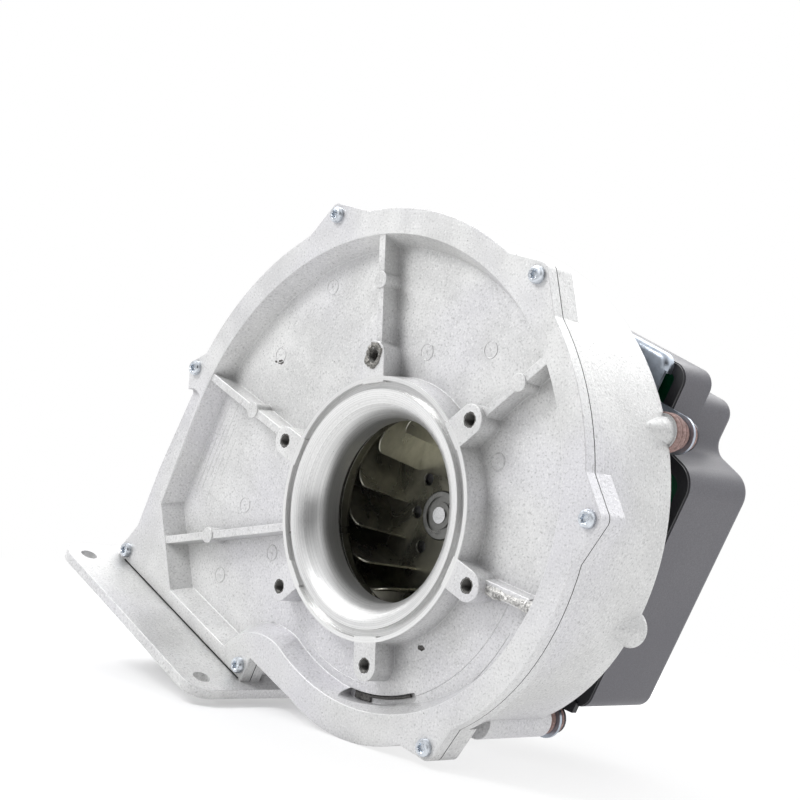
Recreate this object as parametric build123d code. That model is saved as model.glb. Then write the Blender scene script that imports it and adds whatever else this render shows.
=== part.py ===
"""Premix centrifugal blower: die-cast volute, sheet impeller, small motor on rubber isolators.

Every piece is drawn in the maker's view: x to the right and y up as seen from the intake, with
the outlet pointing straight down, and z towards the viewer. Depths are measured from the intake
land into the fan, so depth d lies at z = -d. The last step turns the fan to its resting attitude:
shaft along +Y, +Z up, and the outlet swung to the left by OUTLET_TILT.
"""
import os
from math import acos, atan2, cos, degrees, hypot, pi, radians, sin, sqrt

from build123d import *

os.makedirs("parts", exist_ok=True)

# Attitude
OUTLET_TILT = 21.0          # degrees the outlet swings left of straight down

# Volute spiral, as the edge of the sunk floor in the front cover
SPIRAL_BASE = 103.8         # radius at the 3 o'clock direction
SPIRAL_RATE = 0.215         # millimetres per degree
SPIRAL_FIRST = -45.0        # degrees, where the spiral leaves the cut-off arc
SPIRAL_LAST = 125.0         # degrees, where it runs out into the outlet side
SPIRAL_ARCS = 4             # circular arcs that draw it
DUCT_SIDE = 148.0           # outlet side wall, distance left of the shaft
TONGUE_X = -25.0            # centre of the round cut-off nose
TONGUE_Y = -123.5
TONGUE_R = 36.5             # radius of the floor edge round the nose
TONGUE_MIDDLE = 138.6       # degrees, a point half way up the nose
TONGUE_CREST = 3.0          # how far right of its centre the nose ends

# Front cover casting
RIM_DEPTH = 2.0             # rim face, behind the intake land
RIM_THICK = 5.7
RIM_WIDTH = 12.3
FLOOR_DEPTH = 12.0
SKIN = 3.0                  # casting wall of the cover
WALL_SLOPE = 5.0            # how far the sunk wall leans in over its height
OUTLET_END = 116.3          # shaft to the top of the outlet flange
END_LAND = 7.3              # rim between the sunk floor and the outlet end
RIM_RIGHT = -37.5           # right end of the rim at the outlet
NOSE_LAND = 13.5            # rim below the nose stops this far above the outlet end
HEEL_X = -1.5               # where that lower edge bends into the spiral
HEEL_R = 106.2              # radius of the rim half way round the bend
HEEL_ANGLE = -60.0
CORNER_CUT = 34.0           # slanted corner of the sunk floor at the outlet
RELIEF_TOP = -14.0          # upper end of the sloping relief in the outlet side's rim
RELIEF_LONG = 46.0
RELIEF_DEEP = 3.0
NICHE_DEEP = 2.0            # core niche below the floor
NICHE_WIDE = 4.2
NICHE_LOW = (-74.0, -47.0, 86.5)    # first angle, last angle, middle radius

# Intake
THROAT_R = 42.5
BELL_FLARE = 12.5           # lip of the bell mouth beyond the throat
BELL_DEPTH = 17.0
THROAT_LONG = 3.0           # straight throat behind the bell
BELL_BACK = 4.5             # slope of the casting behind the lip
GROOVE_WIDE = 4.0           # seal groove
GROOVE_DEPTH = 2.5
LAND_WIDE = 2.0
LAND_WALL = 5.5             # depth of the underside of the land
LAND_DRAFT = 1.2
BOSS_OUT = 10.0             # boss centres beyond the land
BOSS_COUNT = 6
BOSS_R = 7.0
BOSS_HOLE_R = 3.0
BOSS_HOLE_DEEP = 10.0

# Ribs on the sunk floor: angle at the land, angle and radius at the wall end
RIB_THICK = 4.0
RIB_DRAFT = 0.6             # each flank, over the height of a rib
RIB_DEPTH = 2.6             # depth of the rib crests
RIB_ANGLES = (119.5, 59.7, 179.4)
SLANT_RIB_FROM = (-50.0, -36.4)
SLANT_RIB_TO = (-134.5, -89.8)
GATE_RIB_ANGLE = 4.5
GATE_RIB_DEPTH = 5.0
GATE_RIB_THICK = 5.5
PIN_R = 4.0                 # ejector pin pads on the ribs
PIN_RADII = (107.5, 100.0, 105.5)
SLANT_PIN_SHARE = 0.62      # place of the pad along the slanting rib

# Casing flange screws
SCREW_ANGLES = (-40.3, 25.7, 74.2, 131.8)
SCREW_OUT = 3.3             # screw centres beyond the rim edge
SCREW_R = 2.0
SCREW_CLEAR = 0.2
SCREW_HEAD_R = 4.0
SCREW_HEAD = 2.6
HEAD_ROUND = 0.4            # rounding of a pan head, as a share of its height
SOCKET_ROUND = 0.32         # recess radius, as a share of the head radius
SOCKET_SINK = 0.65          # recess depth, as a share of the head height
EAR_TIP = 6.8               # ear tip beyond the screw centre
EAR_ROUND = 4.5
EAR_SPAN = 8.8              # degrees of rim on each side of an ear
EAR_BASE = 16.0             # half width of an ear on a straight side
EAR_THICK = 10.2            # screw ears of the casing
OUTLET_SCREW_INSET = 5.5    # outlet end screws above the flange

# Rear casing
GASKET = 0.5
CAVITY_GAP = 4.2            # cavity wall beyond the floor edge
CASING_WALL = 4.0
FLANGE_THICK = 5.7
REAR_EDGE_R = 5.0
REAR_RIBS = 8
REAR_RIB = 2.0              # height of the ribs on the rear wall
REAR_RIB_REACH = 78.0
SEAL_R = 16.0
SEAL_WALL = 6.0
SEAL_LIP = 1.0              # thin lip of the casing in front of the seal
SEAL_LIP_WIDE = 3.0
SEAL_SCREWS = 3
SEAL_SCREW_R = 1.25
SEAL_SCREW_GRIP = 3.0       # length of a seal screw in the casting
SEAL_SHEET = 0.8
SEAL_CLEAR = 0.08
HEAD_RATIO = 1.9            # head radius over shank radius of the small screws
HEAD_TALL = 1.4             # head height over shank radius

# Outlet flange
OUTLET_FLANGE = 146.0
FLANGE_SHIFT = 45.2         # its centre, right of the outlet side
OUTLET_FLANGE_MID = 42.0    # depth of its centre
OUTLET_FLANGE_THICK = 5.0
OUTLET_FLANGE_R = 12.0
OUTLET_PITCH = 122.0
OUTLET_HOLE_R = 4.5

# Impeller
BLADES = 13
BLADE_PHASE = 152.2         # degrees, leading edge of the first blade
BLADE_SHEET = 1.0
BLADE_WRAP = 50.0           # degrees swept back from the eye to the outer edge
BLADE_ROOT_SWEEP = 22.0     # degrees swept back from the root to the eye
BLADE_CORNER_R = 3.4
EYE_CLEAR = 2.5             # eye of the impeller beyond the throat
BLADE_ROOT_IN = 9.0         # inner edge at the back plate, inside the eye
WHEEL_R = 83.0
EYE_GAP = 4.0               # throat to the front edge of the ring's neck
NECK_LONG = 5.5
RING_FALL = 7.5             # depth gained by the front ring from neck to rim
RIM_LONG = 23.0             # blade length along the shaft at the rim
SHEET = 1.2
BALANCE_HOLES = 10
BALANCE_R = 28.5
BALANCE_HOLE_R = 3.2
BALANCE_PHASE = 166.4
HUB_R = 12.0
HUB_LONG = 13.0
HUB_NECK_R = 8.0
HUB_EDGE = 0.8
HUB_RIDGE = 3.0             # width of the hub's outer ridge
HUB_RECESS = 1.0
CLAMP_R = 15.0
CLAMP_THICK = 2.0
WHEEL_GAP = 6.0             # back plate to the rear wall

# Shaft and bearings
SHAFT_R = 4.0
SHAFT_PROUD = 0.8           # shaft end in front of the hub
SHAFT_TAIL = 0.3
FIT = 0.02                  # radial clearance of seated round pieces
BEARING_R = 11.0
BEARING_LONG = 7.0
BEARING_STEP = 0.5          # front bearing behind the motor plate
BALLS = 7
BALL_SHARE = 0.283          # ball radius over the height of the bearing's section
RING_WALL = 2.0             # inner ring
OUTER_WALL = 1.9            # outer ring
CAGE_THICK = 1.1
CAGE_INSET = 1.0
WAVE_THICK = 0.6
CLIP_THICK = 1.0

# Motor plate and isolators
ISOLATOR_X = 82.0
ISOLATOR_TOP = 86.5
ISOLATOR_LOW = -60.5
LUG_R = 8.2
LUG_STAND = 3.0             # lugs behind the rear wall
LUG_LONG = 42.0             # lower lugs, outside the spiral
LUG_TAPER = 22.0            # upper lugs grow out of the wall over this length
LUG_NOSE = 2.0              # small end of the taper
MID_LUG_R = 9.6
MID_LUG_X = 109.5
MID_LUG_Y = 4.0
PLATE_SHEET = 1.5
PLATE_TOP = 115.8
PLATE_HALF = 62.0
PLATE_LOW = -52.0
PLATE_WAIST = 8.0           # plate between the isolators beyond its upper half
PLATE_RIM = 5.4             # folded rim, towards the motor
PLATE_BEND = 3.0
PLATE_CORNER_R = 6.0
TRAY_WRAP = 8.0             # how far the folded rim runs down each side
TRAY_TALL = 40.0
TAB_WIDE = 4.0              # plate round an isolator
RUBBER_FRONT = 5.0
RUBBER_THICK = 4.6
RUBBER_LIP = 2.2
RUBBER_NECK = 1.8
RUBBER_ROUND = 1.0
SLEEVE_WALL = 0.8
ISO_SCREW_R = 2.4
ISO_SCREW_BITE = 2.0        # blind end of the screw holes in the rear wall
WASHER_R = 7.0
WASHER_THICK = 1.0

# Motor
SHIELD_THICK = 4.0
SHIELD_SCREWS = 4
SHIELD_PHASE = 45.0
SHIELD_SCREW_OUT = 32.0
HUB_WALL = 3.0
POT_R = 43.0
POT_WALL = 2.6
POT_ROUND = 3.0
STATOR_BORE = 22.5
STATOR_YOKE = 5.0
STACK_GAP = 4.0             # front bearing to the lamination stack
STACK_LONG = 14.5
REAR_GAP = 3.0              # stack to the rear bearing
TEETH = 9
TOOTH_WIDE = 6.0
SHOE_THICK = 2.0
SLOT_MOUTH = 3.0
COIL_THICK = 2.4
COIL_GAP = 0.3
AIR_GAP = 0.68
MAGNETS = 8
MAGNET_THICK = 3.8
MAGNET_SPACE = 1.0

# Electronics
SPACER_LONG = 6.9
COVER_LAP = 1.4             # cover in front of the board
COVER_LONG = 48.0
STEP_LONG = 20.5            # tall part of the cover
STEP_DROP = 11.5            # how much lower the cover is behind the step
COVER_HALF = 96.3
COVER_LOW = -48.7
COVER_SHOULDER = 73.0
COVER_NOTCH_X = 70.0
COVER_TOP = 113.7
COVER_WALL = 2.5
COVER_CORNER_R = 8.0
COVER_BULGE_R = 12.0
COVER_DIP_R = 8.0
COVER_DIP = 6.0             # height of the slope between bulge and dip
COVER_EDGE_R = 4.5
BOARD_THICK = 1.6
BOARD_GAP = 0.8
BOARD_CLEAR = 0.8           # round the motor
POST_R = 4.0
POST_SCREW_R = 1.5
POST_IN_TOP = 14.0          # upper posts inside the narrow part of the cover
POST_DOWN = 21.7
POST_IN_LOW = 35.3          # lower posts inside the wide part
POST_UP = 13.7
WELL_R = 5.5
WELL_DEEP = 6.4             # screw seats behind the board
FRAME_FRONT = 1.5           # black frame in front of the cover
FRAME_WIDE = 5.5
FRAME_INSET = 0.4
FRAME_GAP = 0.1
TOE_INNER = 60.0            # toes below the cover
TOE_OUTER = 91.5
TOE_DROP = 6.8
TOE_SLANT = 1.5
TOE_FRONT = 3.0
SOCKET_LEFT = 22.0
SOCKET_RIGHT = 54.0
SOCKET_LOW = -53.0
SOCKET_TALL = 13.0
SOCKET_LONG = 12.0
SOCKET_WALL = 1.8
SOCKET_DEEP = 10.5
PIN_WIDE = 1.0
PIN_LONG = 4.0
PIN_PITCH = 4.0
CAP_R = 9.0
CAP_LONG = 32.0
CAP_X = -76.0
CAP_PITCH = 24.0
CAP_ROUND = 1.2
CHOKE_R = 13.5
CHOKE_BORE = 6.3
CHOKE_TALL = 14.0
CHOKE_SPOT = (75.5, 6.0)
CHOKE_ROUND = 2.0
SINK_Y = 62.0
SINK_WIDE = 70.0
SINK_BASE = 4.0
SINK_TALL = 30.0
SINK_FIN = 9.0
SINK_FINS = 8
SINK_FIN_THICK = 2.0
CHIP_PITCH = 22.0
CHIP_WIDE = 10.0
CHIP_THICK = 4.5
CHIP_TALL = 15.0
LEG_WIDE = 6.0
LEG_THICK = 1.0
LEG_LONG = 4.5

# Worked out from the sizes above
POCKET_END = OUTLET_END - END_LAND
RIM_LOWER = NOSE_LAND - OUTLET_END
FLANGE_FRONT = RIM_DEPTH + RIM_THICK + GASKET
FLANGE_REAR = FLANGE_FRONT + FLANGE_THICK
EAR_REAR = FLANGE_FRONT + EAR_THICK
FLOOR_BACK = FLOOR_DEPTH + SKIN
OUTLET_FLANGE_X = FLANGE_SHIFT - DUCT_SIDE
BELL_R = THROAT_R + BELL_FLARE
GROOVE_R = BELL_R + GROOVE_WIDE
LAND_R = GROOVE_R + LAND_WIDE
BOSS_RING_R = LAND_R + BOSS_OUT
THROAT_END = BELL_DEPTH + THROAT_LONG
EYE_R = THROAT_R + EYE_CLEAR
BLADE_ROOT_R = EYE_R - BLADE_ROOT_IN
EYE_DEPTH = THROAT_END + EYE_GAP
BLADE_FRONT = EYE_DEPTH + NECK_LONG
WHEEL_FRONT = BLADE_FRONT + RING_FALL
BACK_PLATE = WHEEL_FRONT + RIM_LONG
HUB_FRONT = BACK_PLATE - HUB_LONG
CAVITY_DEPTH = BACK_PLATE + WHEEL_GAP
CASING_DEPTH = CAVITY_DEPTH + CASING_WALL
LUG_TOP = CASING_DEPTH + LUG_STAND
ISO_SCREW_TIP = CAVITY_DEPTH + ISO_SCREW_BITE
PLATE_DEPTH = LUG_TOP + RUBBER_FRONT
PLATE_BACK = PLATE_DEPTH + PLATE_SHEET
TRAY_LOW = PLATE_TOP - TRAY_WRAP
SLEEVE_R = ISO_SCREW_R + SLEEVE_WALL
RUBBER_NECK_R = SLEEVE_R + RUBBER_NECK
RUBBER_R = RUBBER_NECK_R + RUBBER_LIP
ISOLATORS = [
    (sx * ISOLATOR_X, height) for height in (ISOLATOR_TOP, ISOLATOR_LOW) for sx in (1, -1)
]
BEARING_FRONT = PLATE_BACK + BEARING_STEP
STACK_FRONT = BEARING_FRONT + BEARING_LONG + STACK_GAP
STACK_REAR = STACK_FRONT + STACK_LONG
BEARING_REAR = STACK_REAR + REAR_GAP
RING_IN = SHAFT_R + RING_WALL
RING_OUT = BEARING_R - OUTER_WALL
BALL_R = BALL_SHARE * (BEARING_R - SHAFT_R)
SHAFT_FRONT = HUB_FRONT - SHAFT_PROUD
SHAFT_REAR = BEARING_REAR + BEARING_LONG + SHAFT_TAIL
HUB_SPIGOT_R = BEARING_R + HUB_WALL
STATOR_R = POT_R - POT_WALL - FIT
POT_REAR = BEARING_REAR + BEARING_LONG + WAVE_THICK + POT_WALL
ROTOR_R = STATOR_BORE - AIR_GAP - MAGNET_THICK
BOARD_DEPTH = PLATE_BACK + SPACER_LONG
BOARD_BACK = BOARD_DEPTH + BOARD_THICK
BOARD_HOLE_R = POT_R + BOARD_CLEAR
COVER_FRONT = BOARD_DEPTH - COVER_LAP
COVER_REAR = COVER_FRONT + COVER_LONG
STEP_DEPTH = COVER_FRONT + STEP_LONG
STEP_TOP = COVER_TOP - STEP_DROP
WELL_FLOOR = BOARD_BACK + WELL_DEEP
FRAME_DEPTH = COVER_FRONT - FRAME_FRONT
POST_SPOTS = [
    (sx * (half - inside), height)
    for half, inside, height in (
        (COVER_NOTCH_X, POST_IN_TOP, COVER_TOP - POST_DOWN), (COVER_HALF, POST_IN_LOW, COVER_LOW + POST_UP))
    for sx in (1, -1)
]


def polar(radius, angle):
    """Point at a radius and an angle in degrees, counted from the right towards the top."""
    return (radius * cos(radians(angle)), radius * sin(radians(angle)))


def slab(sketch, front, rear):
    """Sketch made solid between two depths."""
    return Pos(0, 0, -rear) * extrude(sketch, rear - front)


def disc(radius, front, rear, at=(0, 0)):
    return slab(Pos(*at) * Circle(radius), front, rear)


def tube(outer, inner, front, rear, at=(0, 0)):
    return slab(Pos(*at) * (Circle(outer) - Circle(inner)), front, rear)


def patch(*points):
    """Polygon whose face always looks towards the viewer."""
    loop = list(points)
    turned = sum(a[0] * b[1] - b[0] * a[1] for a, b in zip(loop, loop[1:] + loop[:1]))
    return Polygon(*(loop if turned > 0 else loop[::-1]), align=None)


def ring_of(points):
    """Solid of revolution from (radius, depth) corners."""
    profile = Plane.XZ * make_face(Polyline(*[(r, -d) for r, d in points], close=True))
    return revolve(profile, Axis.Z)


def around(count, phase=0.0):
    return [phase + 360.0 * k / count for k in range(count)]


def spiral_radius(angle, offset):
    return SPIRAL_BASE + SPIRAL_RATE * angle + offset


def spiral_heading(angle, offset):
    """Unit direction in which the spiral runs at an angle."""
    out = degrees(atan2(SPIRAL_RATE * 180.0 / pi, spiral_radius(angle, offset)))
    return polar(1.0, angle + 90.0 - out)


def volute_outline(offset, lower, cut=0.0):
    """Spiral, outlet side, outlet end and rounded cut-off nose, pushed outwards by offset."""
    edges = []
    span = (SPIRAL_LAST - SPIRAL_FIRST) / SPIRAL_ARCS
    for k in range(SPIRAL_ARCS):
        first = SPIRAL_FIRST + k * span
        marks = (first, first + span / 2, first + span)
        edges.append(ThreePointArc(*[polar(spiral_radius(a, offset), a) for a in marks]))
    start = polar(spiral_radius(SPIRAL_LAST, offset), SPIRAL_LAST)
    heading = spiral_heading(SPIRAL_LAST, offset)
    side = -(DUCT_SIDE + offset)
    bend = (start[0] - side) / (1.0 + heading[1])
    turn = acos(-heading[1])
    middle = (start[0] - bend * (cos(turn / 2) - cos(turn)), start[1] - bend * (sin(turn) - sin(turn / 2)))
    end = (side, start[1] - bend * sin(turn))
    edges.append(ThreePointArc(start, middle, end))
    edges.append(Line(end, (side, -lower + cut)))
    if cut > 0:
        edges.append(Line((side, -lower + cut), (side + cut, -lower)))
    nose = TONGUE_R - offset
    rise = -lower - TONGUE_Y
    foot = (TONGUE_X - sqrt(nose ** 2 - rise ** 2), -lower)
    edges.append(Line((side + cut, -lower), foot))
    across, up = polar(nose, TONGUE_MIDDLE)
    crest = (TONGUE_X + TONGUE_CREST, TONGUE_Y + sqrt(nose ** 2 - TONGUE_CREST ** 2))
    edges.append(ThreePointArc(foot, (TONGUE_X + across, TONGUE_Y + up), crest))
    first = polar(spiral_radius(SPIRAL_FIRST, offset), SPIRAL_FIRST)
    heading = spiral_heading(SPIRAL_FIRST, offset)
    edges.append(TangentArc(first, crest, tangent=(-heading[0], -heading[1])))
    return make_face(edges)


def screw_spots():
    """Centres of the seven casing screws."""
    spots = [polar(spiral_radius(a, RIM_WIDTH + SCREW_OUT), a) for a in SCREW_ANGLES]
    side = -(DUCT_SIDE + RIM_WIDTH + 1.0)
    low = -OUTLET_END + OUTLET_SCREW_INSET
    return spots + [(side, 0.0), (side, low), (RIM_RIGHT - OUTLET_SCREW_INSET, low + 0.5)]


def ear(spot, base_a, base_b, inside):
    """Pointed screw ear: a kite from the rim to a rounded tip beyond the screw."""
    length = hypot(spot[0], spot[1])
    tip = ((length + EAR_TIP) / length * spot[0], (length + EAR_TIP) / length * spot[1])
    kite = patch(base_a, tip, base_b, inside)
    corner = kite.vertices().sort_by_distance(Vector(*tip))[0]
    return fillet(corner, EAR_ROUND)


def ears():
    """Screw ears of the flange: five pointed ones, and two round ones at the outlet end."""
    made = []
    for angle, spot in zip(SCREW_ANGLES, screw_spots()):
        low = polar(spiral_radius(angle - EAR_SPAN, RIM_WIDTH), angle - EAR_SPAN)
        high = polar(spiral_radius(angle + EAR_SPAN, RIM_WIDTH), angle + EAR_SPAN)
        made.append(ear(spot, low, high, polar(spiral_radius(angle, 0), angle)))
    side, corner, right = screw_spots()[4:]
    edge = -(DUCT_SIDE + RIM_WIDTH)
    top = (edge + RIM_WIDTH, 1.25 * EAR_BASE)
    made.append(ear(side, top, (edge + 1, -EAR_BASE), (edge + 2 * RIM_WIDTH, 0)))
    foot = Pos(*corner) * Circle(OUTLET_SCREW_INSET)
    foot += patch(
        (edge, corner[1] + EAR_BASE), (corner[0] - OUTLET_SCREW_INSET, corner[1] + 1.0),
        (corner[0] - OUTLET_SCREW_INSET, -OUTLET_END), (edge + RIM_WIDTH, -OUTLET_END),
    )
    return made + [foot, Pos(*right) * Circle(OUTLET_SCREW_INSET)]


def rim_outline():
    """Outer edge of the screwed flange, with its seven ears."""
    body = volute_outline(RIM_WIDTH, OUTLET_END)
    inside = RIM_LOWER + 4 * RIM_WIDTH
    skirt = patch(
        (RIM_RIGHT, -OUTLET_END), (RIM_RIGHT, RIM_LOWER), (0, RIM_LOWER),
        (0, inside), (OUTLET_FLANGE_X, inside), (OUTLET_FLANGE_X, -OUTLET_END),
    )
    arc_end = polar(spiral_radius(SPIRAL_FIRST, RIM_WIDTH), SPIRAL_FIRST)
    heel = make_face([
        Line((RIM_RIGHT, RIM_LOWER), (HEEL_X, RIM_LOWER)),
        ThreePointArc((HEEL_X, RIM_LOWER), polar(HEEL_R, HEEL_ANGLE), arc_end),
        Line(arc_end, (0, inside)),
        Line((0, inside), (RIM_RIGHT, RIM_LOWER)),
    ])
    outline = body + skirt + heel
    for shape in ears():
        outline += shape
    return outline


def flange_holes(radius, front, rear):
    return [disc(radius, front, rear, spot) for spot in screw_spots()]


def bell():
    """Land, seal groove and bell mouth as one turned shell."""
    lip = (BELL_R, 0.0)
    waist = (THROAT_R, -BELL_DEPTH)
    wall = LAND_R + LAND_DRAFT
    curve = EllipticalCenterArc(
        (BELL_R, -BELL_DEPTH), BELL_R - THROAT_R, BELL_DEPTH, start_angle=90, arc_size=90,
    )
    back = Polyline(
        lip, (BELL_R, -GROOVE_DEPTH), (GROOVE_R, -GROOVE_DEPTH), (GROOVE_R, 0), (LAND_R, 0),
        (wall, -FLOOR_DEPTH), (wall, -FLOOR_BACK), (LAND_R - SKIN, -FLOOR_BACK),
        (LAND_R - SKIN - LAND_DRAFT / 2, -LAND_WALL), (BELL_R - SKIN, -LAND_WALL),
        (BELL_R - SKIN - BELL_BACK, -LAND_WALL - BELL_BACK), (THROAT_R + SKIN, -BELL_DEPTH),
        (THROAT_R + SKIN, -THROAT_END), (THROAT_R, -THROAT_END), waist,
    )
    return revolve(Plane.XZ * make_face([curve, back]), Axis.Z)


def boss_lobe(angle):
    """Round boss tied to the land by a straight-sided lobe."""
    centre = BOSS_RING_R
    lobe = Pos(centre, 0) * Circle(BOSS_R)
    lobe += Pos((centre + LAND_R - SKIN) / 2, 0) * Rectangle(centre - LAND_R + SKIN, 2 * BOSS_R)
    return slab(Rot(0, 0, angle) * lobe, 0, FLOOR_BACK)


def rib(start, end, thick, crest):
    """Straight rib between two points of the floor, leaning in towards its crest."""
    length = hypot(end[0] - start[0], end[1] - start[1])
    slope = degrees(atan2(end[1] - start[1], end[0] - start[0]))
    middle = ((start[0] + end[0]) / 2, (start[1] + end[1]) / 2)
    foot = Pos(0, 0, -FLOOR_DEPTH - 1.0) * Rectangle(length, thick + 2 * RIB_DRAFT)
    top = Pos(0, 0, -crest) * Rectangle(length, thick)
    return Pos(*middle) * Rot(0, 0, slope) * loft([foot.face(), top.face()], ruled=True)


def on_line(start, end, share):
    """Point at a share of the way from start to end."""
    return (start[0] + share * (end[0] - start[0]), start[1] + share * (end[1] - start[1]))


def arc_slot(first, last, radius, wide):
    """Curved slot with round ends, along a circle about the shaft."""
    arc = CenterArc((0, 0), radius, first, last - first)
    return make_face(offset(arc, wide / 2, side=Side.BOTH).edges())


def rim_relief():
    """Sloping cut in the outlet side's rim, deep and round at its top and running out downwards."""
    wide = RIM_WIDTH + 2.0
    shape = Pos(0, -RELIEF_LONG / 2) * Rectangle(wide, RELIEF_LONG)
    shape += Pos(0, -1.0) * Ellipse(wide / 2, wide / 3)
    slope = degrees(atan2(RELIEF_DEEP, RELIEF_LONG))
    cut = Rot(-slope, 0, 0) * extrude(shape, RIM_THICK)
    return Pos(-(DUCT_SIDE + wide / 2), RELIEF_TOP, -RIM_DEPTH - RELIEF_DEEP) * cut


def front_cover():
    rim = slab(rim_outline(), RIM_DEPTH, RIM_DEPTH + RIM_THICK)
    plug_top = Pos(0, 0, -RIM_DEPTH - 1.0) * volute_outline(SKIN, POCKET_END + SKIN, CORNER_CUT)
    plug_end = Pos(0, 0, -FLOOR_BACK) * volute_outline(
        SKIN - WALL_SLOPE, POCKET_END + SKIN - WALL_SLOPE, CORNER_CUT)
    plug = loft([plug_top.face(), plug_end.face()], ruled=True)
    sink_top = Pos(0, 0, -RIM_DEPTH) * volute_outline(0, POCKET_END, CORNER_CUT)
    sink_end = Pos(0, 0, -FLOOR_DEPTH) * volute_outline(-WALL_SLOPE, POCKET_END - WALL_SLOPE, CORNER_CUT)
    sink = loft([sink_top.face(), sink_end.face()], ruled=True)
    cover = rim - rim_relief() + plug - sink
    cover += slab(arc_slot(*NICHE_LOW, NICHE_WIDE + 2 * SKIN), FLOOR_DEPTH + 1.0, FLOOR_BACK + NICHE_DEEP)
    cover -= slab(arc_slot(*NICHE_LOW, NICHE_WIDE), RIM_DEPTH + 1.0, FLOOR_DEPTH + NICHE_DEEP)
    pads = []
    for angle, pad in zip(RIB_ANGLES, PIN_RADII):
        reach = spiral_radius(angle, 1.0)
        if angle > SPIRAL_LAST:
            reach = DUCT_SIDE - 1.0
        cover += rib(polar(LAND_R, angle), polar(reach, angle), RIB_THICK, RIB_DEPTH)
        pads.append(polar(pad, angle))
    cover += rib(SLANT_RIB_FROM, SLANT_RIB_TO, RIB_THICK, RIB_DEPTH)
    pads.append(on_line(SLANT_RIB_FROM, SLANT_RIB_TO, SLANT_PIN_SHARE))
    for pad in pads:
        cover += disc(PIN_R, RIB_DEPTH - 0.5, FLOOR_DEPTH + 0.5, pad)
    gate_end = polar(spiral_radius(GATE_RIB_ANGLE, -WALL_SLOPE + 1.5), GATE_RIB_ANGLE)
    cover += rib(polar(BOSS_RING_R, GATE_RIB_ANGLE / 3), gate_end, GATE_RIB_THICK, GATE_RIB_DEPTH)
    cover -= disc(LAND_R, -1.0, FLOOR_BACK + 1.0)
    cover += bell()
    for angle in around(BOSS_COUNT):
        cover += boss_lobe(angle)
    for angle in around(BOSS_COUNT):
        cover -= disc(BOSS_HOLE_R, -1.0, BOSS_HOLE_DEEP, polar(BOSS_RING_R, angle))
    for hole in flange_holes(SCREW_R + SCREW_CLEAR, RIM_DEPTH - 1, RIM_DEPTH + RIM_THICK + 1):
        cover -= hole
    return cover


def gasket():
    inner = volute_outline(CAVITY_GAP + 0.3, OUTLET_END + 0.01)
    ring = rim_outline() - inner
    sheet = slab(ring, RIM_DEPTH + RIM_THICK, FLANGE_FRONT)
    for hole in flange_holes(SCREW_R + SCREW_CLEAR, RIM_DEPTH, FLANGE_REAR):
        sheet -= hole
    return sheet


def seal_screw_spots():
    return [polar(SEAL_R + SEAL_WALL / 2, angle) for angle in around(SEAL_SCREWS, 90.0)]


def tapered_lug(spot, radius, rear):
    """Lug that grows out of the casing wall towards its full radius at the rear."""
    cone = Cone(radius, LUG_NOSE, LUG_TAPER)
    return Pos(spot[0], spot[1], -(rear - LUG_TAPER / 2)) * cone


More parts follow.
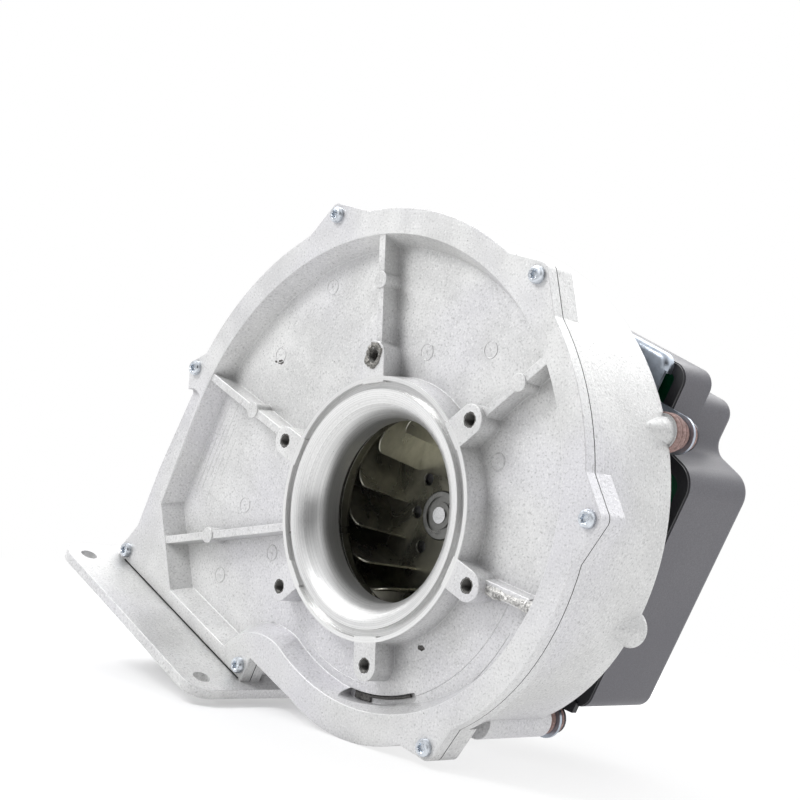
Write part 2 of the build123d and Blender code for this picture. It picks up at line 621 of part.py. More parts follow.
def rear_casing():
    """Volute body with its flange, outlet duct, outlet flange and isolator lugs."""
    wall = CAVITY_GAP + CASING_WALL
    body = slab(volute_outline(wall, OUTLET_END + 1.0), FLANGE_FRONT, CASING_DEPTH)
    body = fillet(body.edges().group_by(Axis.Z)[0], REAR_EDGE_R)
    for sx in (1, -1):
        knob = tapered_lug((sx * MID_LUG_X, MID_LUG_Y), MID_LUG_R, CASING_DEPTH)
        body += fillet(knob.edges().group_by(Axis.Z)[0], REAR_EDGE_R / 2)
    casing = slab(rim_outline(), FLANGE_FRONT, FLANGE_REAR) + body
    for shape in ears():
        casing += slab(shape, FLANGE_FRONT, EAR_REAR)
    plate = Box(OUTLET_FLANGE, OUTLET_FLANGE_THICK, OUTLET_FLANGE)
    plate = fillet(plate.edges().filter_by(Axis.Y), OUTLET_FLANGE_R)
    height = -OUTLET_END - OUTLET_FLANGE_THICK / 2
    casing += Pos(OUTLET_FLANGE_X, height, -OUTLET_FLANGE_MID) * plate
    for x, y in ISOLATORS:
        if y < 0:
            casing += disc(LUG_R, LUG_TOP - LUG_LONG, LUG_TOP, (x, y))
        else:
            casing += tapered_lug((x, y), LUG_R, CASING_DEPTH)
    casing += tube(SEAL_R + SEAL_WALL, SEAL_R, CASING_DEPTH - 1.0, CASING_DEPTH + REAR_RIB)
    for angle in around(REAR_RIBS, 360.0 / REAR_RIBS / 2):
        length = REAR_RIB_REACH - SEAL_R - 1.0
        bar = Rot(0, 0, angle) * Pos(SEAL_R + 1.0 + length / 2, 0) * Rectangle(length, RIB_THICK)
        casing += slab(bar, CASING_DEPTH - 1.0, CASING_DEPTH + REAR_RIB)
    lower = OUTLET_END + OUTLET_FLANGE_THICK + 1.0
    casing -= slab(volute_outline(CAVITY_GAP, lower), FLANGE_FRONT - 1.0, CAVITY_DEPTH)
    for spot in ISOLATORS:
        casing += disc(LUG_R, CAVITY_DEPTH, LUG_TOP, spot)
        casing -= disc(ISO_SCREW_R + FIT, ISO_SCREW_TIP, LUG_TOP + 1.0, spot)
    casing -= disc(SEAL_R - SEAL_LIP_WIDE, CAVITY_DEPTH - 1.0, CASING_DEPTH)
    casing -= disc(SEAL_R + FIT, CAVITY_DEPTH + SEAL_LIP, CASING_DEPTH + REAR_RIB + 1.0)
    for spot in seal_screw_spots():
        casing -= disc(SEAL_SCREW_R + FIT, CASING_DEPTH + REAR_RIB - SEAL_SCREW_GRIP - 1.0,
                       CASING_DEPTH + REAR_RIB + 1.0, spot)
    for hole in flange_holes(SCREW_R + FIT, FLANGE_FRONT - 1.0, EAR_REAR + 1.0):
        casing -= hole
    half = OUTLET_PITCH / 2
    for sx in (1, -1):
        for sz in (1, -1):
            spot = (OUTLET_FLANGE_X + sx * half, height, -OUTLET_FLANGE_MID + sz * half)
            casing -= Pos(*spot) * Rot(90, 0, 0) * Cylinder(OUTLET_HOLE_R, OUTLET_FLANGE_THICK + 2.0)
    return casing


def pan_screw(shank, head, tall, length):
    """Pan-head screw pointing into the depth, with its bearing face at depth zero."""
    cap = disc(head, -tall, 0)
    cap = fillet(cap.edges().group_by(Axis.Z)[-1], tall * HEAD_ROUND)
    socket = disc(head * SOCKET_ROUND, -tall - 1.0, -tall * (1.0 - SOCKET_SINK))
    return cap - socket + disc(shank, -FIT, length)


def cover_screws():
    screw = pan_screw(SCREW_R, SCREW_HEAD_R, SCREW_HEAD, EAR_REAR - RIM_DEPTH - 0.5)
    return [Pos(x, y, -RIM_DEPTH) * screw for x, y in screw_spots()]


def back_plate():
    plate = disc(WHEEL_R, BACK_PLATE, BACK_PLATE + SHEET) - disc(HUB_NECK_R + FIT, 0, CASING_DEPTH)
    for angle in around(BALANCE_HOLES, BALANCE_PHASE):
        plate -= disc(BALANCE_HOLE_R, 0, CASING_DEPTH, polar(BALANCE_R, angle))
    return plate


def ring_underside():
    """Inner face of the front ring as (radius, depth) corners, from the eye to the rim."""
    return [
        (EYE_R, EYE_DEPTH), (EYE_R, BLADE_FRONT - 1.5), (EYE_R + 1.0, BLADE_FRONT + 0.7),
        (EYE_R + 3.5, BLADE_FRONT + 2.1), (WHEEL_R, WHEEL_FRONT),
    ]


def front_ring():
    outer = [
        (WHEEL_R, WHEEL_FRONT - SHEET), (EYE_R + 3.9, BLADE_FRONT + 0.9),
        (EYE_R + 2.0, BLADE_FRONT - 0.3), (EYE_R + SHEET, BLADE_FRONT - 1.9), (EYE_R + SHEET, EYE_DEPTH),
    ]
    return ring_of(ring_underside() + outer)


def circle_centre(a, b, c):
    """Centre of the circle through three points."""
    ax, ay, bx, by, cx, cy = *a, *b, *c
    d = 2 * (ax * (by - cy) + bx * (cy - ay) + cx * (ay - by))
    a2, b2, c2 = ax ** 2 + ay ** 2, bx ** 2 + by ** 2, cx ** 2 + cy ** 2
    x = (a2 * (by - cy) + b2 * (cy - ay) + c2 * (ay - by)) / d
    y = (a2 * (cx - bx) + b2 * (ax - cx) + c2 * (bx - ax)) / d
    return (x, y)


def blades():
    """Swept-back sheet blades between the back plate and the front ring."""
    tip = polar(WHEEL_R - 0.5, -BLADE_WRAP)
    root = polar(BLADE_ROOT_R - 1.0, BLADE_ROOT_SWEEP)
    eye = polar(EYE_R, 0)
    cx, cy = circle_centre(root, eye, tip)
    radius = hypot(eye[0] - cx, eye[1] - cy)
    start = degrees(atan2(root[1] - cy, root[0] - cx))
    sweep = degrees(atan2(tip[1] - cy, tip[0] - cx)) - start
    sweep = (sweep + 180.0) % 360.0 - 180.0
    inner = CenterArc((cx, cy), radius - BLADE_SHEET / 2, start, sweep)
    outer = CenterArc((cx, cy), radius + BLADE_SHEET / 2, start, sweep)
    strip = make_face([inner, outer, Line(inner @ 0, outer @ 0), Line(inner @ 1, outer @ 1)])
    lead = (EYE_R - 0.6, BLADE_FRONT + 0.4)
    corners = [lead, *ring_underside()[3:], (WHEEL_R, BACK_PLATE), (BLADE_ROOT_R, BACK_PLATE)]
    wheel = patch(*[(r, -d) for r, d in corners])
    corner = wheel.vertices().sort_by_distance(Vector(lead[0], -lead[1]))[0]
    wheel = revolve(Plane.XZ * fillet(corner, BLADE_CORNER_R), Axis.Z)
    blade = slab(strip, EYE_DEPTH, BACK_PLATE) & wheel
    return [Rot(0, 0, angle) * blade for angle in around(BLADES, BLADE_PHASE)]


def hub():
    body = disc(HUB_R, HUB_FRONT, BACK_PLATE) + disc(HUB_NECK_R, BACK_PLATE, BACK_PLATE + SHEET + CLAMP_THICK)
    body = fillet(body.edges().group_by(Axis.Z)[-1], HUB_EDGE)
    body -= tube(HUB_R - HUB_RIDGE, (SHAFT_R + HUB_R - HUB_RIDGE) / 2, HUB_FRONT - 1.0, HUB_FRONT + HUB_RECESS)
    return body - disc(SHAFT_R + FIT, 0, CASING_DEPTH)


def bearing(front):
    """Deep-groove ball bearing: outer ring, inner ring, balls and cage."""
    middle = front + BEARING_LONG / 2
    pitch = (RING_IN + RING_OUT) / 2
    groove = Pos(0, 0, -middle) * Torus(pitch, BALL_R + FIT)
    rear = front + BEARING_LONG
    outer = tube(BEARING_R, RING_OUT, front, rear) - groove
    inner = tube(RING_IN, SHAFT_R + FIT, front, rear) - groove
    balls = []
    cage = tube(pitch + CAGE_THICK / 2, pitch - CAGE_THICK / 2, front + CAGE_INSET, rear - CAGE_INSET)
    for angle in around(BALLS):
        x, y = polar(pitch, angle)
        balls.append(Pos(x, y, -middle) * Sphere(BALL_R))
        pocket = Cylinder(BALL_R + 4 * FIT, 4 * CAGE_THICK)
        cage -= Pos(x, y, -middle) * Rot(0, 0, angle) * Rot(0, 90, 0) * pocket
    return outer, inner, balls, cage


def motor_plate():
    """Pressed plate with a folded upper rim, hung on four isolators."""
    half = PLATE_HALF
    waist = half + PLATE_WAIST
    tab = RUBBER_NECK_R + TAB_WIDE
    right = [
        (half, PLATE_TOP), (half, ISOLATOR_TOP + tab), (waist, ISOLATOR_TOP - tab),
        (waist, ISOLATOR_LOW + tab), (half, PLATE_LOW),
    ]
    shape = patch(*right, *[(-x, y) for x, y in reversed(right)])
    shape = fillet(shape.vertices().group_by(Axis.Y)[-1], PLATE_CORNER_R)
    for x, y in ISOLATORS:
        side = 1 if x > 0 else -1
        shape += Pos(x, y) * Circle(tab)
        shape += Pos(x - side * tab, y) * Rectangle(2 * tab, 2 * tab)
    tray_mid = PLATE_TOP - TRAY_TALL / 2
    tray = slab(Pos(0, tray_mid) * RectangleRounded(2 * half, TRAY_TALL, PLATE_CORNER_R),
                PLATE_DEPTH, PLATE_DEPTH + PLATE_RIM)
    tray = fillet(tray.edges().group_by(Axis.Z)[-1], PLATE_BEND)
    well = RectangleRounded(
        2 * (half - PLATE_SHEET), TRAY_TALL - 2 * PLATE_SHEET, PLATE_CORNER_R - PLATE_SHEET)
    tray -= slab(Pos(0, tray_mid) * well, PLATE_BACK, PLATE_DEPTH + PLATE_RIM + 1.0)
    below = Box(4 * half, 2 * TRAY_TALL, 4 * PLATE_RIM, align=(Align.CENTER, Align.MAX, Align.CENTER))
    tray -= Pos(0, TRAY_LOW, -PLATE_DEPTH) * below
    above = Box(4 * half, 2 * TRAY_TALL, 4 * PLATE_RIM, align=(Align.CENTER, Align.MIN, Align.CENTER))
    sheet = slab(shape, PLATE_DEPTH, PLATE_BACK) - Pos(0, TRAY_LOW + 1.0, -PLATE_DEPTH) * above
    sheet += tray
    sheet -= disc(HUB_SPIGOT_R + 0.3, PLATE_DEPTH - 1, PLATE_BACK + 1)
    for spot in ISOLATORS:
        sheet -= disc(RUBBER_NECK_R + 0.05, PLATE_DEPTH - 1, PLATE_BACK + 1, spot)
    for spot in shield_screw_spots():
        sheet -= disc(SCREW_R + SCREW_CLEAR, PLATE_DEPTH - 1, PLATE_BACK + 1, spot)
    for spot in POST_SPOTS:
        sheet -= disc(POST_SCREW_R + FIT, PLATE_DEPTH - 1, PLATE_BACK + 1, spot)
    return sheet


def isolators():
    """Rubber grommets, steel sleeves, washers and screws at the four lugs."""
    rear = PLATE_BACK + RUBBER_THICK
    front_pad = disc(RUBBER_R, LUG_TOP, PLATE_DEPTH)
    front_pad = fillet(front_pad.edges().filter_by(GeomType.CIRCLE), RUBBER_ROUND)
    rear_pad = disc(RUBBER_R, PLATE_BACK, rear)
    rear_pad = fillet(rear_pad.edges().filter_by(GeomType.CIRCLE), RUBBER_ROUND)
    rubber = front_pad + rear_pad + disc(RUBBER_NECK_R, PLATE_DEPTH - 1, PLATE_BACK + 1)
    rubber -= disc(SLEEVE_R + FIT, LUG_TOP - 1, rear + 1)
    sleeve = tube(SLEEVE_R, ISO_SCREW_R + 0.1, LUG_TOP, rear)
    washer = tube(WASHER_R, ISO_SCREW_R + 0.1, rear, rear + WASHER_THICK)
    screw = Pos(0, 0, -rear - WASHER_THICK) * Rot(180, 0, 0) * pan_screw(
        ISO_SCREW_R, ISO_SCREW_R * HEAD_RATIO, ISO_SCREW_R * HEAD_TALL, rear + WASHER_THICK - ISO_SCREW_TIP)
    groups = []
    for piece in (rubber, sleeve, washer, screw):
        groups.append([Pos(x, y, 0) * piece for x, y in ISOLATORS])
    return groups


def shield_screw_spots():
    return [polar(SHIELD_SCREW_OUT, angle) for angle in around(SHIELD_SCREWS, SHIELD_PHASE)]


def end_shield():
    """Front end of the motor, with the front bearing's seat and a register for the housing."""
    seat_end = BEARING_FRONT + BEARING_LONG
    shield = disc(POT_R - 1.0, PLATE_BACK, PLATE_BACK + SHIELD_THICK)
    shield += disc(HUB_SPIGOT_R, BEARING_FRONT - HUB_WALL, seat_end + 1.0)
    shield += tube(STATOR_R, STATOR_R - POT_WALL, PLATE_BACK, seat_end)
    shield -= disc(BEARING_R + FIT, BEARING_FRONT, seat_end + 2.0)
    shield -= disc(SHAFT_R + 1.0, BEARING_FRONT - HUB_WALL - 1.0, BEARING_FRONT + 1.0)
    for spot in shield_screw_spots():
        shield -= disc(SCREW_R + FIT, PLATE_BACK - 1, PLATE_BACK + SHIELD_THICK + 1, spot)
    return shield


def shield_screws():
    screw = pan_screw(SCREW_R, SCREW_HEAD_R, SCREW_HEAD, PLATE_SHEET + SHIELD_THICK)
    return [Pos(x, y, -PLATE_DEPTH) * screw for x, y in shield_screw_spots()]


def motor_pot():
    front = PLATE_BACK + SHIELD_THICK
    floor = BEARING_REAR + BEARING_LONG + WAVE_THICK
    pot = disc(POT_R, front, POT_REAR)
    pot = fillet(pot.edges().group_by(Axis.Z)[0], POT_ROUND)
    pot -= disc(POT_R - POT_WALL, front - 1.0, floor)
    seat = tube(BEARING_R + HUB_WALL, BEARING_R + FIT, BEARING_REAR - 1.0, floor + 0.5)
    return pot + seat


def stator():
    """Laminated ring with inward teeth, and a coil round each tooth."""
    ring = Circle(STATOR_R) - Circle(STATOR_R - STATOR_YOKE)
    shoe = Circle(STATOR_BORE + SHOE_THICK) - Circle(STATOR_BORE)
    slots = []
    length = STATOR_R - STATOR_YOKE / 2 - STATOR_BORE - SHOE_THICK / 2
    reach = STATOR_BORE + SHOE_THICK / 2 + length / 2
    for angle in around(TEETH):
        ring += Rot(0, 0, angle) * Pos(reach, 0) * Rectangle(length, TOOTH_WIDE)
        slots.append(Rot(0, 0, angle + 180.0 / TEETH) * Pos(STATOR_BORE, 0) * Rectangle(4 * SHOE_THICK, SLOT_MOUTH))
    for slot in slots:
        shoe -= slot
    core = slab(ring + shoe, STACK_FRONT, STACK_REAR)
    coils = []
    inner = STATOR_BORE + SHOE_THICK + COIL_GAP
    outer = STATOR_R - STATOR_YOKE - 3 * COIL_GAP
    mid = (inner + outer) / 2
    tall = STACK_REAR - STACK_FRONT
    for angle in around(TEETH):
        block = Box(outer - inner, TOOTH_WIDE + 2 * COIL_THICK, tall + 2 * COIL_THICK)
        block = fillet(block.edges().filter_by(Axis.X), COIL_THICK)
        block -= Box(outer - inner + 1.0, TOOTH_WIDE + 2 * FIT, tall + 2 * FIT)
        coils.append(Rot(0, 0, angle) * Pos(mid, 0, -(STACK_FRONT + STACK_REAR) / 2) * block)
    return core, coils


def rotor():
    core = tube(ROTOR_R, SHAFT_R + FIT, STACK_FRONT, STACK_REAR)
    ring = Circle(ROTOR_R + FIT + MAGNET_THICK) - Circle(ROTOR_R + FIT)
    for angle in around(MAGNETS):
        ring -= Rot(0, 0, angle) * Pos(ROTOR_R, 0) * Rectangle(4 * MAGNET_THICK, MAGNET_SPACE)
    magnets = [slab(face, STACK_FRONT, STACK_REAR) for face in ring.faces()]
    return core, magnets


def cover_shape(inset, top):
    """Outline of the electronics cover: wide below, narrower between the upper isolators."""
    wide = COVER_HALF - inset
    narrow = COVER_NOTCH_X - inset
    low = COVER_LOW + inset
    right = [
        (wide, low), (wide, COVER_SHOULDER - inset), (narrow, COVER_SHOULDER + COVER_DIP - inset),
        (narrow, top - inset),
    ]
    shape = patch(*right, *[(-x, y) for x, y in reversed(right)])
    corner_r = max(COVER_CORNER_R - inset, 0.5)
    radii = (corner_r, COVER_BULGE_R - inset, COVER_DIP_R + inset, corner_r)
    for (x, y), radius in zip(right, radii):
        for sx in (1, -1):
            corner = shape.vertices().sort_by_distance(Vector(sx * x, y))[0]
            shape = fillet(corner, radius)
    return shape


def electronics_cover():
    """Open tub over the board, stepped along its upper rear, with four deep screw wells."""
    tub = slab(cover_shape(0, COVER_TOP), COVER_FRONT, STEP_DEPTH)
    tub += slab(cover_shape(0, STEP_TOP), COVER_FRONT, COVER_REAR)
    tub = fillet(tub.edges().group_by(Axis.Z)[0], COVER_EDGE_R)
    tub -= slab(cover_shape(COVER_WALL, COVER_TOP), COVER_FRONT - 1.0, STEP_DEPTH - COVER_WALL)
    tub -= slab(cover_shape(COVER_WALL, STEP_TOP), COVER_FRONT - 1.0, COVER_REAR - COVER_WALL)
    for x, y in POST_SPOTS:
        tub += disc(WELL_R, BOARD_BACK, COVER_REAR - 1.0, (x, y))
        tub -= disc(WELL_R - COVER_WALL + 0.5, WELL_FLOOR, COVER_REAR + 1.0, (x, y))
        tub -= disc(POST_SCREW_R + 0.1, BOARD_DEPTH, COVER_REAR, (x, y))
    slot_wide = SOCKET_RIGHT - SOCKET_LEFT + 2 * BOARD_GAP
    slot_long = BOARD_BACK + SOCKET_LONG + BOARD_GAP - COVER_FRONT
    slot = Box(slot_wide, 4 * COVER_WALL, 2 * slot_long)
    tub -= Pos((SOCKET_LEFT + SOCKET_RIGHT) / 2, COVER_LOW, -COVER_FRONT) * slot
    return tub


def circuit_board():
    shape = cover_shape(COVER_WALL + BOARD_GAP, COVER_TOP) - Circle(BOARD_HOLE_R)
    board = slab(shape, BOARD_DEPTH, BOARD_BACK)
    for spot in POST_SPOTS:
        board -= disc(POST_SCREW_R + 0.1, BOARD_DEPTH - 1, BOARD_BACK + 1, spot)
    return board


def board_fixings():
    """Threaded spacers under the board and the screws that hold cover, board and plate."""
    spacers = []
    screws = []
    for spot in POST_SPOTS:
        spacers.append(tube(POST_R, POST_SCREW_R + FIT, PLATE_BACK, BOARD_DEPTH, spot))
        screw = pan_screw(
            POST_SCREW_R, POST_SCREW_R * HEAD_RATIO, POST_SCREW_R * HEAD_TALL, WELL_FLOOR - PLATE_DEPTH)
        screws.append(Pos(spot[0], spot[1], -WELL_FLOOR) * Rot(180, 0, 0) * screw)
    return spacers, screws


def board_frame():
    """Black frame before the cover's edge and the board, with two toes below the cover."""
    opening = cover_shape(FRAME_WIDE, COVER_TOP)
    frame = slab(cover_shape(FRAME_INSET, COVER_TOP) - opening, FRAME_DEPTH, COVER_FRONT)
    frame += slab(cover_shape(COVER_WALL + FRAME_GAP, COVER_TOP) - opening, FRAME_DEPTH, BOARD_DEPTH)
    low = COVER_LOW + COVER_WALL
    for side in (1, -1):
        toe = patch(
            (side * TOE_INNER, low), (side * TOE_INNER, low - TOE_DROP + TOE_SLANT),
            (side * (TOE_INNER + TOE_OUTER) / 2, low - TOE_DROP + TOE_SLANT),
            (side * (TOE_OUTER - 4 * TOE_SLANT), low - TOE_DROP),
            (side * TOE_OUTER, low - TOE_DROP + TOE_SLANT), (side * TOE_OUTER, low),
        )
        frame += slab(toe, COVER_FRONT - TOE_FRONT, COVER_FRONT)
    return frame


def connector():
    """Black connector block behind the board, with two sockets that open downwards."""
    wide = SOCKET_RIGHT - SOCKET_LEFT
    middle = (SOCKET_LEFT + SOCKET_RIGHT) / 2
    depth = -(BOARD_BACK + SOCKET_LONG / 2)
    block = Pos(middle, SOCKET_LOW + SOCKET_TALL / 2, depth) * Box(wide, SOCKET_TALL, SOCKET_LONG)
    pins = []
    bay = (wide - 3 * SOCKET_WALL) / 2
    for k in (0, 1):
        x = SOCKET_LEFT + SOCKET_WALL + bay / 2 + k * (bay + SOCKET_WALL)
        block -= Pos(x, SOCKET_LOW, depth) * Box(bay, 2 * SOCKET_DEEP, SOCKET_LONG - 2 * SOCKET_WALL)
        for step in (-1, 0, 1):
            height = SOCKET_LOW + SOCKET_DEEP - PIN_LONG / 2
            pins.append(Pos(x + step * PIN_PITCH, height, depth) * Box(PIN_WIDE, PIN_LONG, PIN_WIDE))
    return block, pins


def components():
    """Large parts on the rear of the board: capacitors, choke, transistors on a heat sink."""
    back = BOARD_BACK
    caps = []
    for step in (-1, 0, 1):
        can = disc(CAP_R, back, back + CAP_LONG, (CAP_X, step * CAP_PITCH))
        caps.append(fillet(can.edges().group_by(Axis.Z)[0], CAP_ROUND))
    choke = tube(CHOKE_R, CHOKE_BORE, back, back + CHOKE_TALL, CHOKE_SPOT)
    choke = fillet(choke.edges(), CHOKE_ROUND)
    sink = Pos(0, SINK_Y, -(back + SINK_TALL / 2)) * Box(SINK_WIDE, SINK_BASE, SINK_TALL)
    for k in range(SINK_FINS):
        x = (SINK_WIDE - SINK_FIN_THICK) * (k / (SINK_FINS - 1) - 0.5)
        fin = Box(SINK_FIN_THICK, SINK_FIN, SINK_TALL)
        sink += Pos(x, SINK_Y + SINK_BASE / 2 + SINK_FIN / 2, -(back + SINK_TALL / 2)) * fin
    chips = []
    y = SINK_Y - SINK_BASE / 2 - CHIP_THICK / 2
    for step in (-1, 0, 1):
        x = step * CHIP_PITCH
        body = Pos(x, y, -(back + LEG_LONG + CHIP_TALL / 2)) * Box(CHIP_WIDE, CHIP_THICK, CHIP_TALL)
        chips.append(body + Pos(x, y, -(back + LEG_LONG / 2)) * Box(LEG_WIDE, LEG_THICK, LEG_LONG))
    return caps, choke, sink, chips


def shaft_seal():
    """Felt disc in the rear wall, the sheet ring that holds it and its screws."""
    rear = CASING_DEPTH + REAR_RIB
    felt = tube(SEAL_R, SHAFT_R + SEAL_CLEAR, CAVITY_DEPTH + SEAL_LIP, rear)
    ring = tube(SEAL_R + SEAL_WALL, SHAFT_R + 2.0, rear, rear + SEAL_SHEET)
    screw = Rot(180, 0, 0) * pan_screw(
        SEAL_SCREW_R, SEAL_SCREW_R * HEAD_RATIO, SEAL_SCREW_R * HEAD_TALL, SEAL_SHEET + SEAL_SCREW_GRIP)
    screws = []
    for spot in seal_screw_spots():
        ring -= disc(SEAL_SCREW_R + FIT, rear - 1, rear + SEAL_SHEET + 1, spot)
        screws.append(Pos(spot[0], spot[1], -rear - SEAL_SHEET) * screw)
    return felt, ring, screws


def place(shape):
    """From the maker's view to the resting attitude."""
    return Rot(90, 0, 0) * Rot(0, 0, -OUTLET_TILT) * shape


def write(name, shape):
    solids = shape if isinstance(shape, list) else [shape]
    solids = [piece for item in solids for piece in item.solids()]
    body = Compound(children=[place(piece) for piece in solids]) if len(solids) > 1 else place(solids[0])
    body.label = name
    export_step(body, "parts/" + name + ".step")


def main():
    write("front_cover", front_cover())
    write("casing_gasket", gasket())
    write("rear_casing", rear_casing())
    write("cover_screws", cover_screws())
    write("impeller_blades", blades())
    write("impeller_back_plate", back_plate())
    write("impeller_front_ring", front_ring())
    write("impeller_hub", hub())
    clamp_front = BACK_PLATE + SHEET
    write("hub_clamp_ring", tube(CLAMP_R, HUB_NECK_R + FIT, clamp_front, clamp_front + CLAMP_THICK))
    write("shaft", disc(SHAFT_R, SHAFT_FRONT, SHAFT_REAR))
    felt, seal_ring, seal_screws = shaft_seal()
    write("shaft_seal", felt)
    write("seal_plate", seal_ring)
    write("seal_plate_screws", seal_screws)
    for side, front in (("front", BEARING_FRONT), ("rear", BEARING_REAR)):
        outer, inner, balls, cage = bearing(front)
        write(side + "_bearing_outer_ring", outer)
        write(side + "_bearing_inner_ring", inner)
        write(side + "_bearing_balls", balls)
        write(side + "_bearing_cage", cage)
    rear_face = BEARING_REAR + BEARING_LONG
    write("wave_washer", tube(BEARING_R - 0.3, RING_OUT, rear_face, rear_face + WAVE_THICK))
    stop = BEARING_FRONT + BEARING_LONG
    write("retaining_ring", tube(RING_IN + 0.3, SHAFT_R + FIT, stop, stop + CLIP_THICK))
    write("end_shield", end_shield())
    write("shield_screws", shield_screws())
    write("motor_housing", motor_pot())
    core, coils = stator()
    write("stator_core", core)
    write("stator_windings", coils)
    core, magnets = rotor()
    write("rotor_core", core)
    write("rotor_magnets", magnets)
    write("motor_plate", motor_plate())
    rubber, sleeves, washers, screws = isolators()
    write("rubber_isolators", rubber)
    write("isolator_sleeves", sleeves)
    write("isolator_washers", washers)
    write("isolator_screws", screws)
    write("electronics_cover", electronics_cover())
    write("circuit_board", circuit_board())
    write("board_frame", board_frame())
    spacers, screws = board_fixings()
    write("board_spacers", spacers)
    write("electronics_cover_screws", screws)
    block, pins = connector()
    write("connector_block", block)
    write("connector_pins", pins)
    caps, choke, sink, chips = components()
    write("capacitors", caps)
    write("choke", choke)
    write("heat_sink", sink)
    write("power_transistors", chips)


main()
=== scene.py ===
"""Looks of the centrifugal blower.

Finishes for the CAD nodes, cast and machined detail, fasteners, the studio's floor and lights, and
the camera of the photograph. The scene is in metres, in the same frame as the CAD.
"""
import math
import random

import bmesh
import bpy
from mathutils import Matrix, Vector


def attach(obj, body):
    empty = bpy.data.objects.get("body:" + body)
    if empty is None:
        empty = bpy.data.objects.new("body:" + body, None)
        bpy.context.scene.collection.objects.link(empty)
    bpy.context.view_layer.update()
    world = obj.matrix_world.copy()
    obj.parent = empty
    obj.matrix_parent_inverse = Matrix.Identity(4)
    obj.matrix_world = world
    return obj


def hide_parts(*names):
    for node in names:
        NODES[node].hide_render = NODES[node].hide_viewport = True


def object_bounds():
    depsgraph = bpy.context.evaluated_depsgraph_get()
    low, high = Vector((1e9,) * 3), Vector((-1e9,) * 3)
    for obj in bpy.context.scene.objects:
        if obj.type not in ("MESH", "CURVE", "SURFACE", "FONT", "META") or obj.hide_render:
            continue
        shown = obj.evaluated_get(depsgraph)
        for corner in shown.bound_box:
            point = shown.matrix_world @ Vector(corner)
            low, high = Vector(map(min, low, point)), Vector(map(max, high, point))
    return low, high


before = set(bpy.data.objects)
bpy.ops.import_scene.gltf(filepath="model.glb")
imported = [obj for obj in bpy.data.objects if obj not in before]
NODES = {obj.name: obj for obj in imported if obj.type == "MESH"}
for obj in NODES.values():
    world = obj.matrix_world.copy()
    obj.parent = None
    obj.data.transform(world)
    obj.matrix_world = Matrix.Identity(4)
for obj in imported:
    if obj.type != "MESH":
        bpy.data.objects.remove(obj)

box_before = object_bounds()
MM = 0.001
FULL_TURN = 2 * math.pi
TILT = math.radians(21.0)  # swing of the outlet, and of the casting's own axes, from straight down
rng = random.Random(7)

# Sizes of the CAD, in millimetres and degrees
SUNK_FLOOR = 12.0  # depth of the front cover's floor behind the intake's land
BOSS_CIRCLE = 71.0
BOSS_COUNT = 6
BOSS_STEP = 60.0
BLADES = 13
BLADE_PHASE = 152.2
BACK_PLATE = 60.0  # depth of the impeller's back plate


# Placing
def spot(x, y, depth):
    """Place in metres of a point in the maker's view, given in millimetres.

    In the maker's view the outlet points straight down, and depth runs back from the intake's land.
    """
    c, s = math.cos(TILT), math.sin(TILT)
    return Vector((x * c + y * s, depth, -x * s + y * c)) * MM


def polar(radius, angle):
    """Point of the maker's view at a radius from the shaft, degrees up from the right."""
    a = math.radians(angle)
    return radius * math.cos(a), radius * math.sin(a)


def round_angles(count):
    return [FULL_TURN * k / count for k in range(count)]


def circle(centre, radius, depth, count):
    """Points round an axis along Y through centre, which is in metres; the rest is in millimetres."""
    return [centre + Vector((radius * math.cos(a), depth, radius * math.sin(a))) * MM
            for a in round_angles(count)]


# Shader helpers
def toned(tone, factor):
    """Tone made darker or lighter, up to white."""
    return tuple(min(1.0, v * factor) for v in tone)


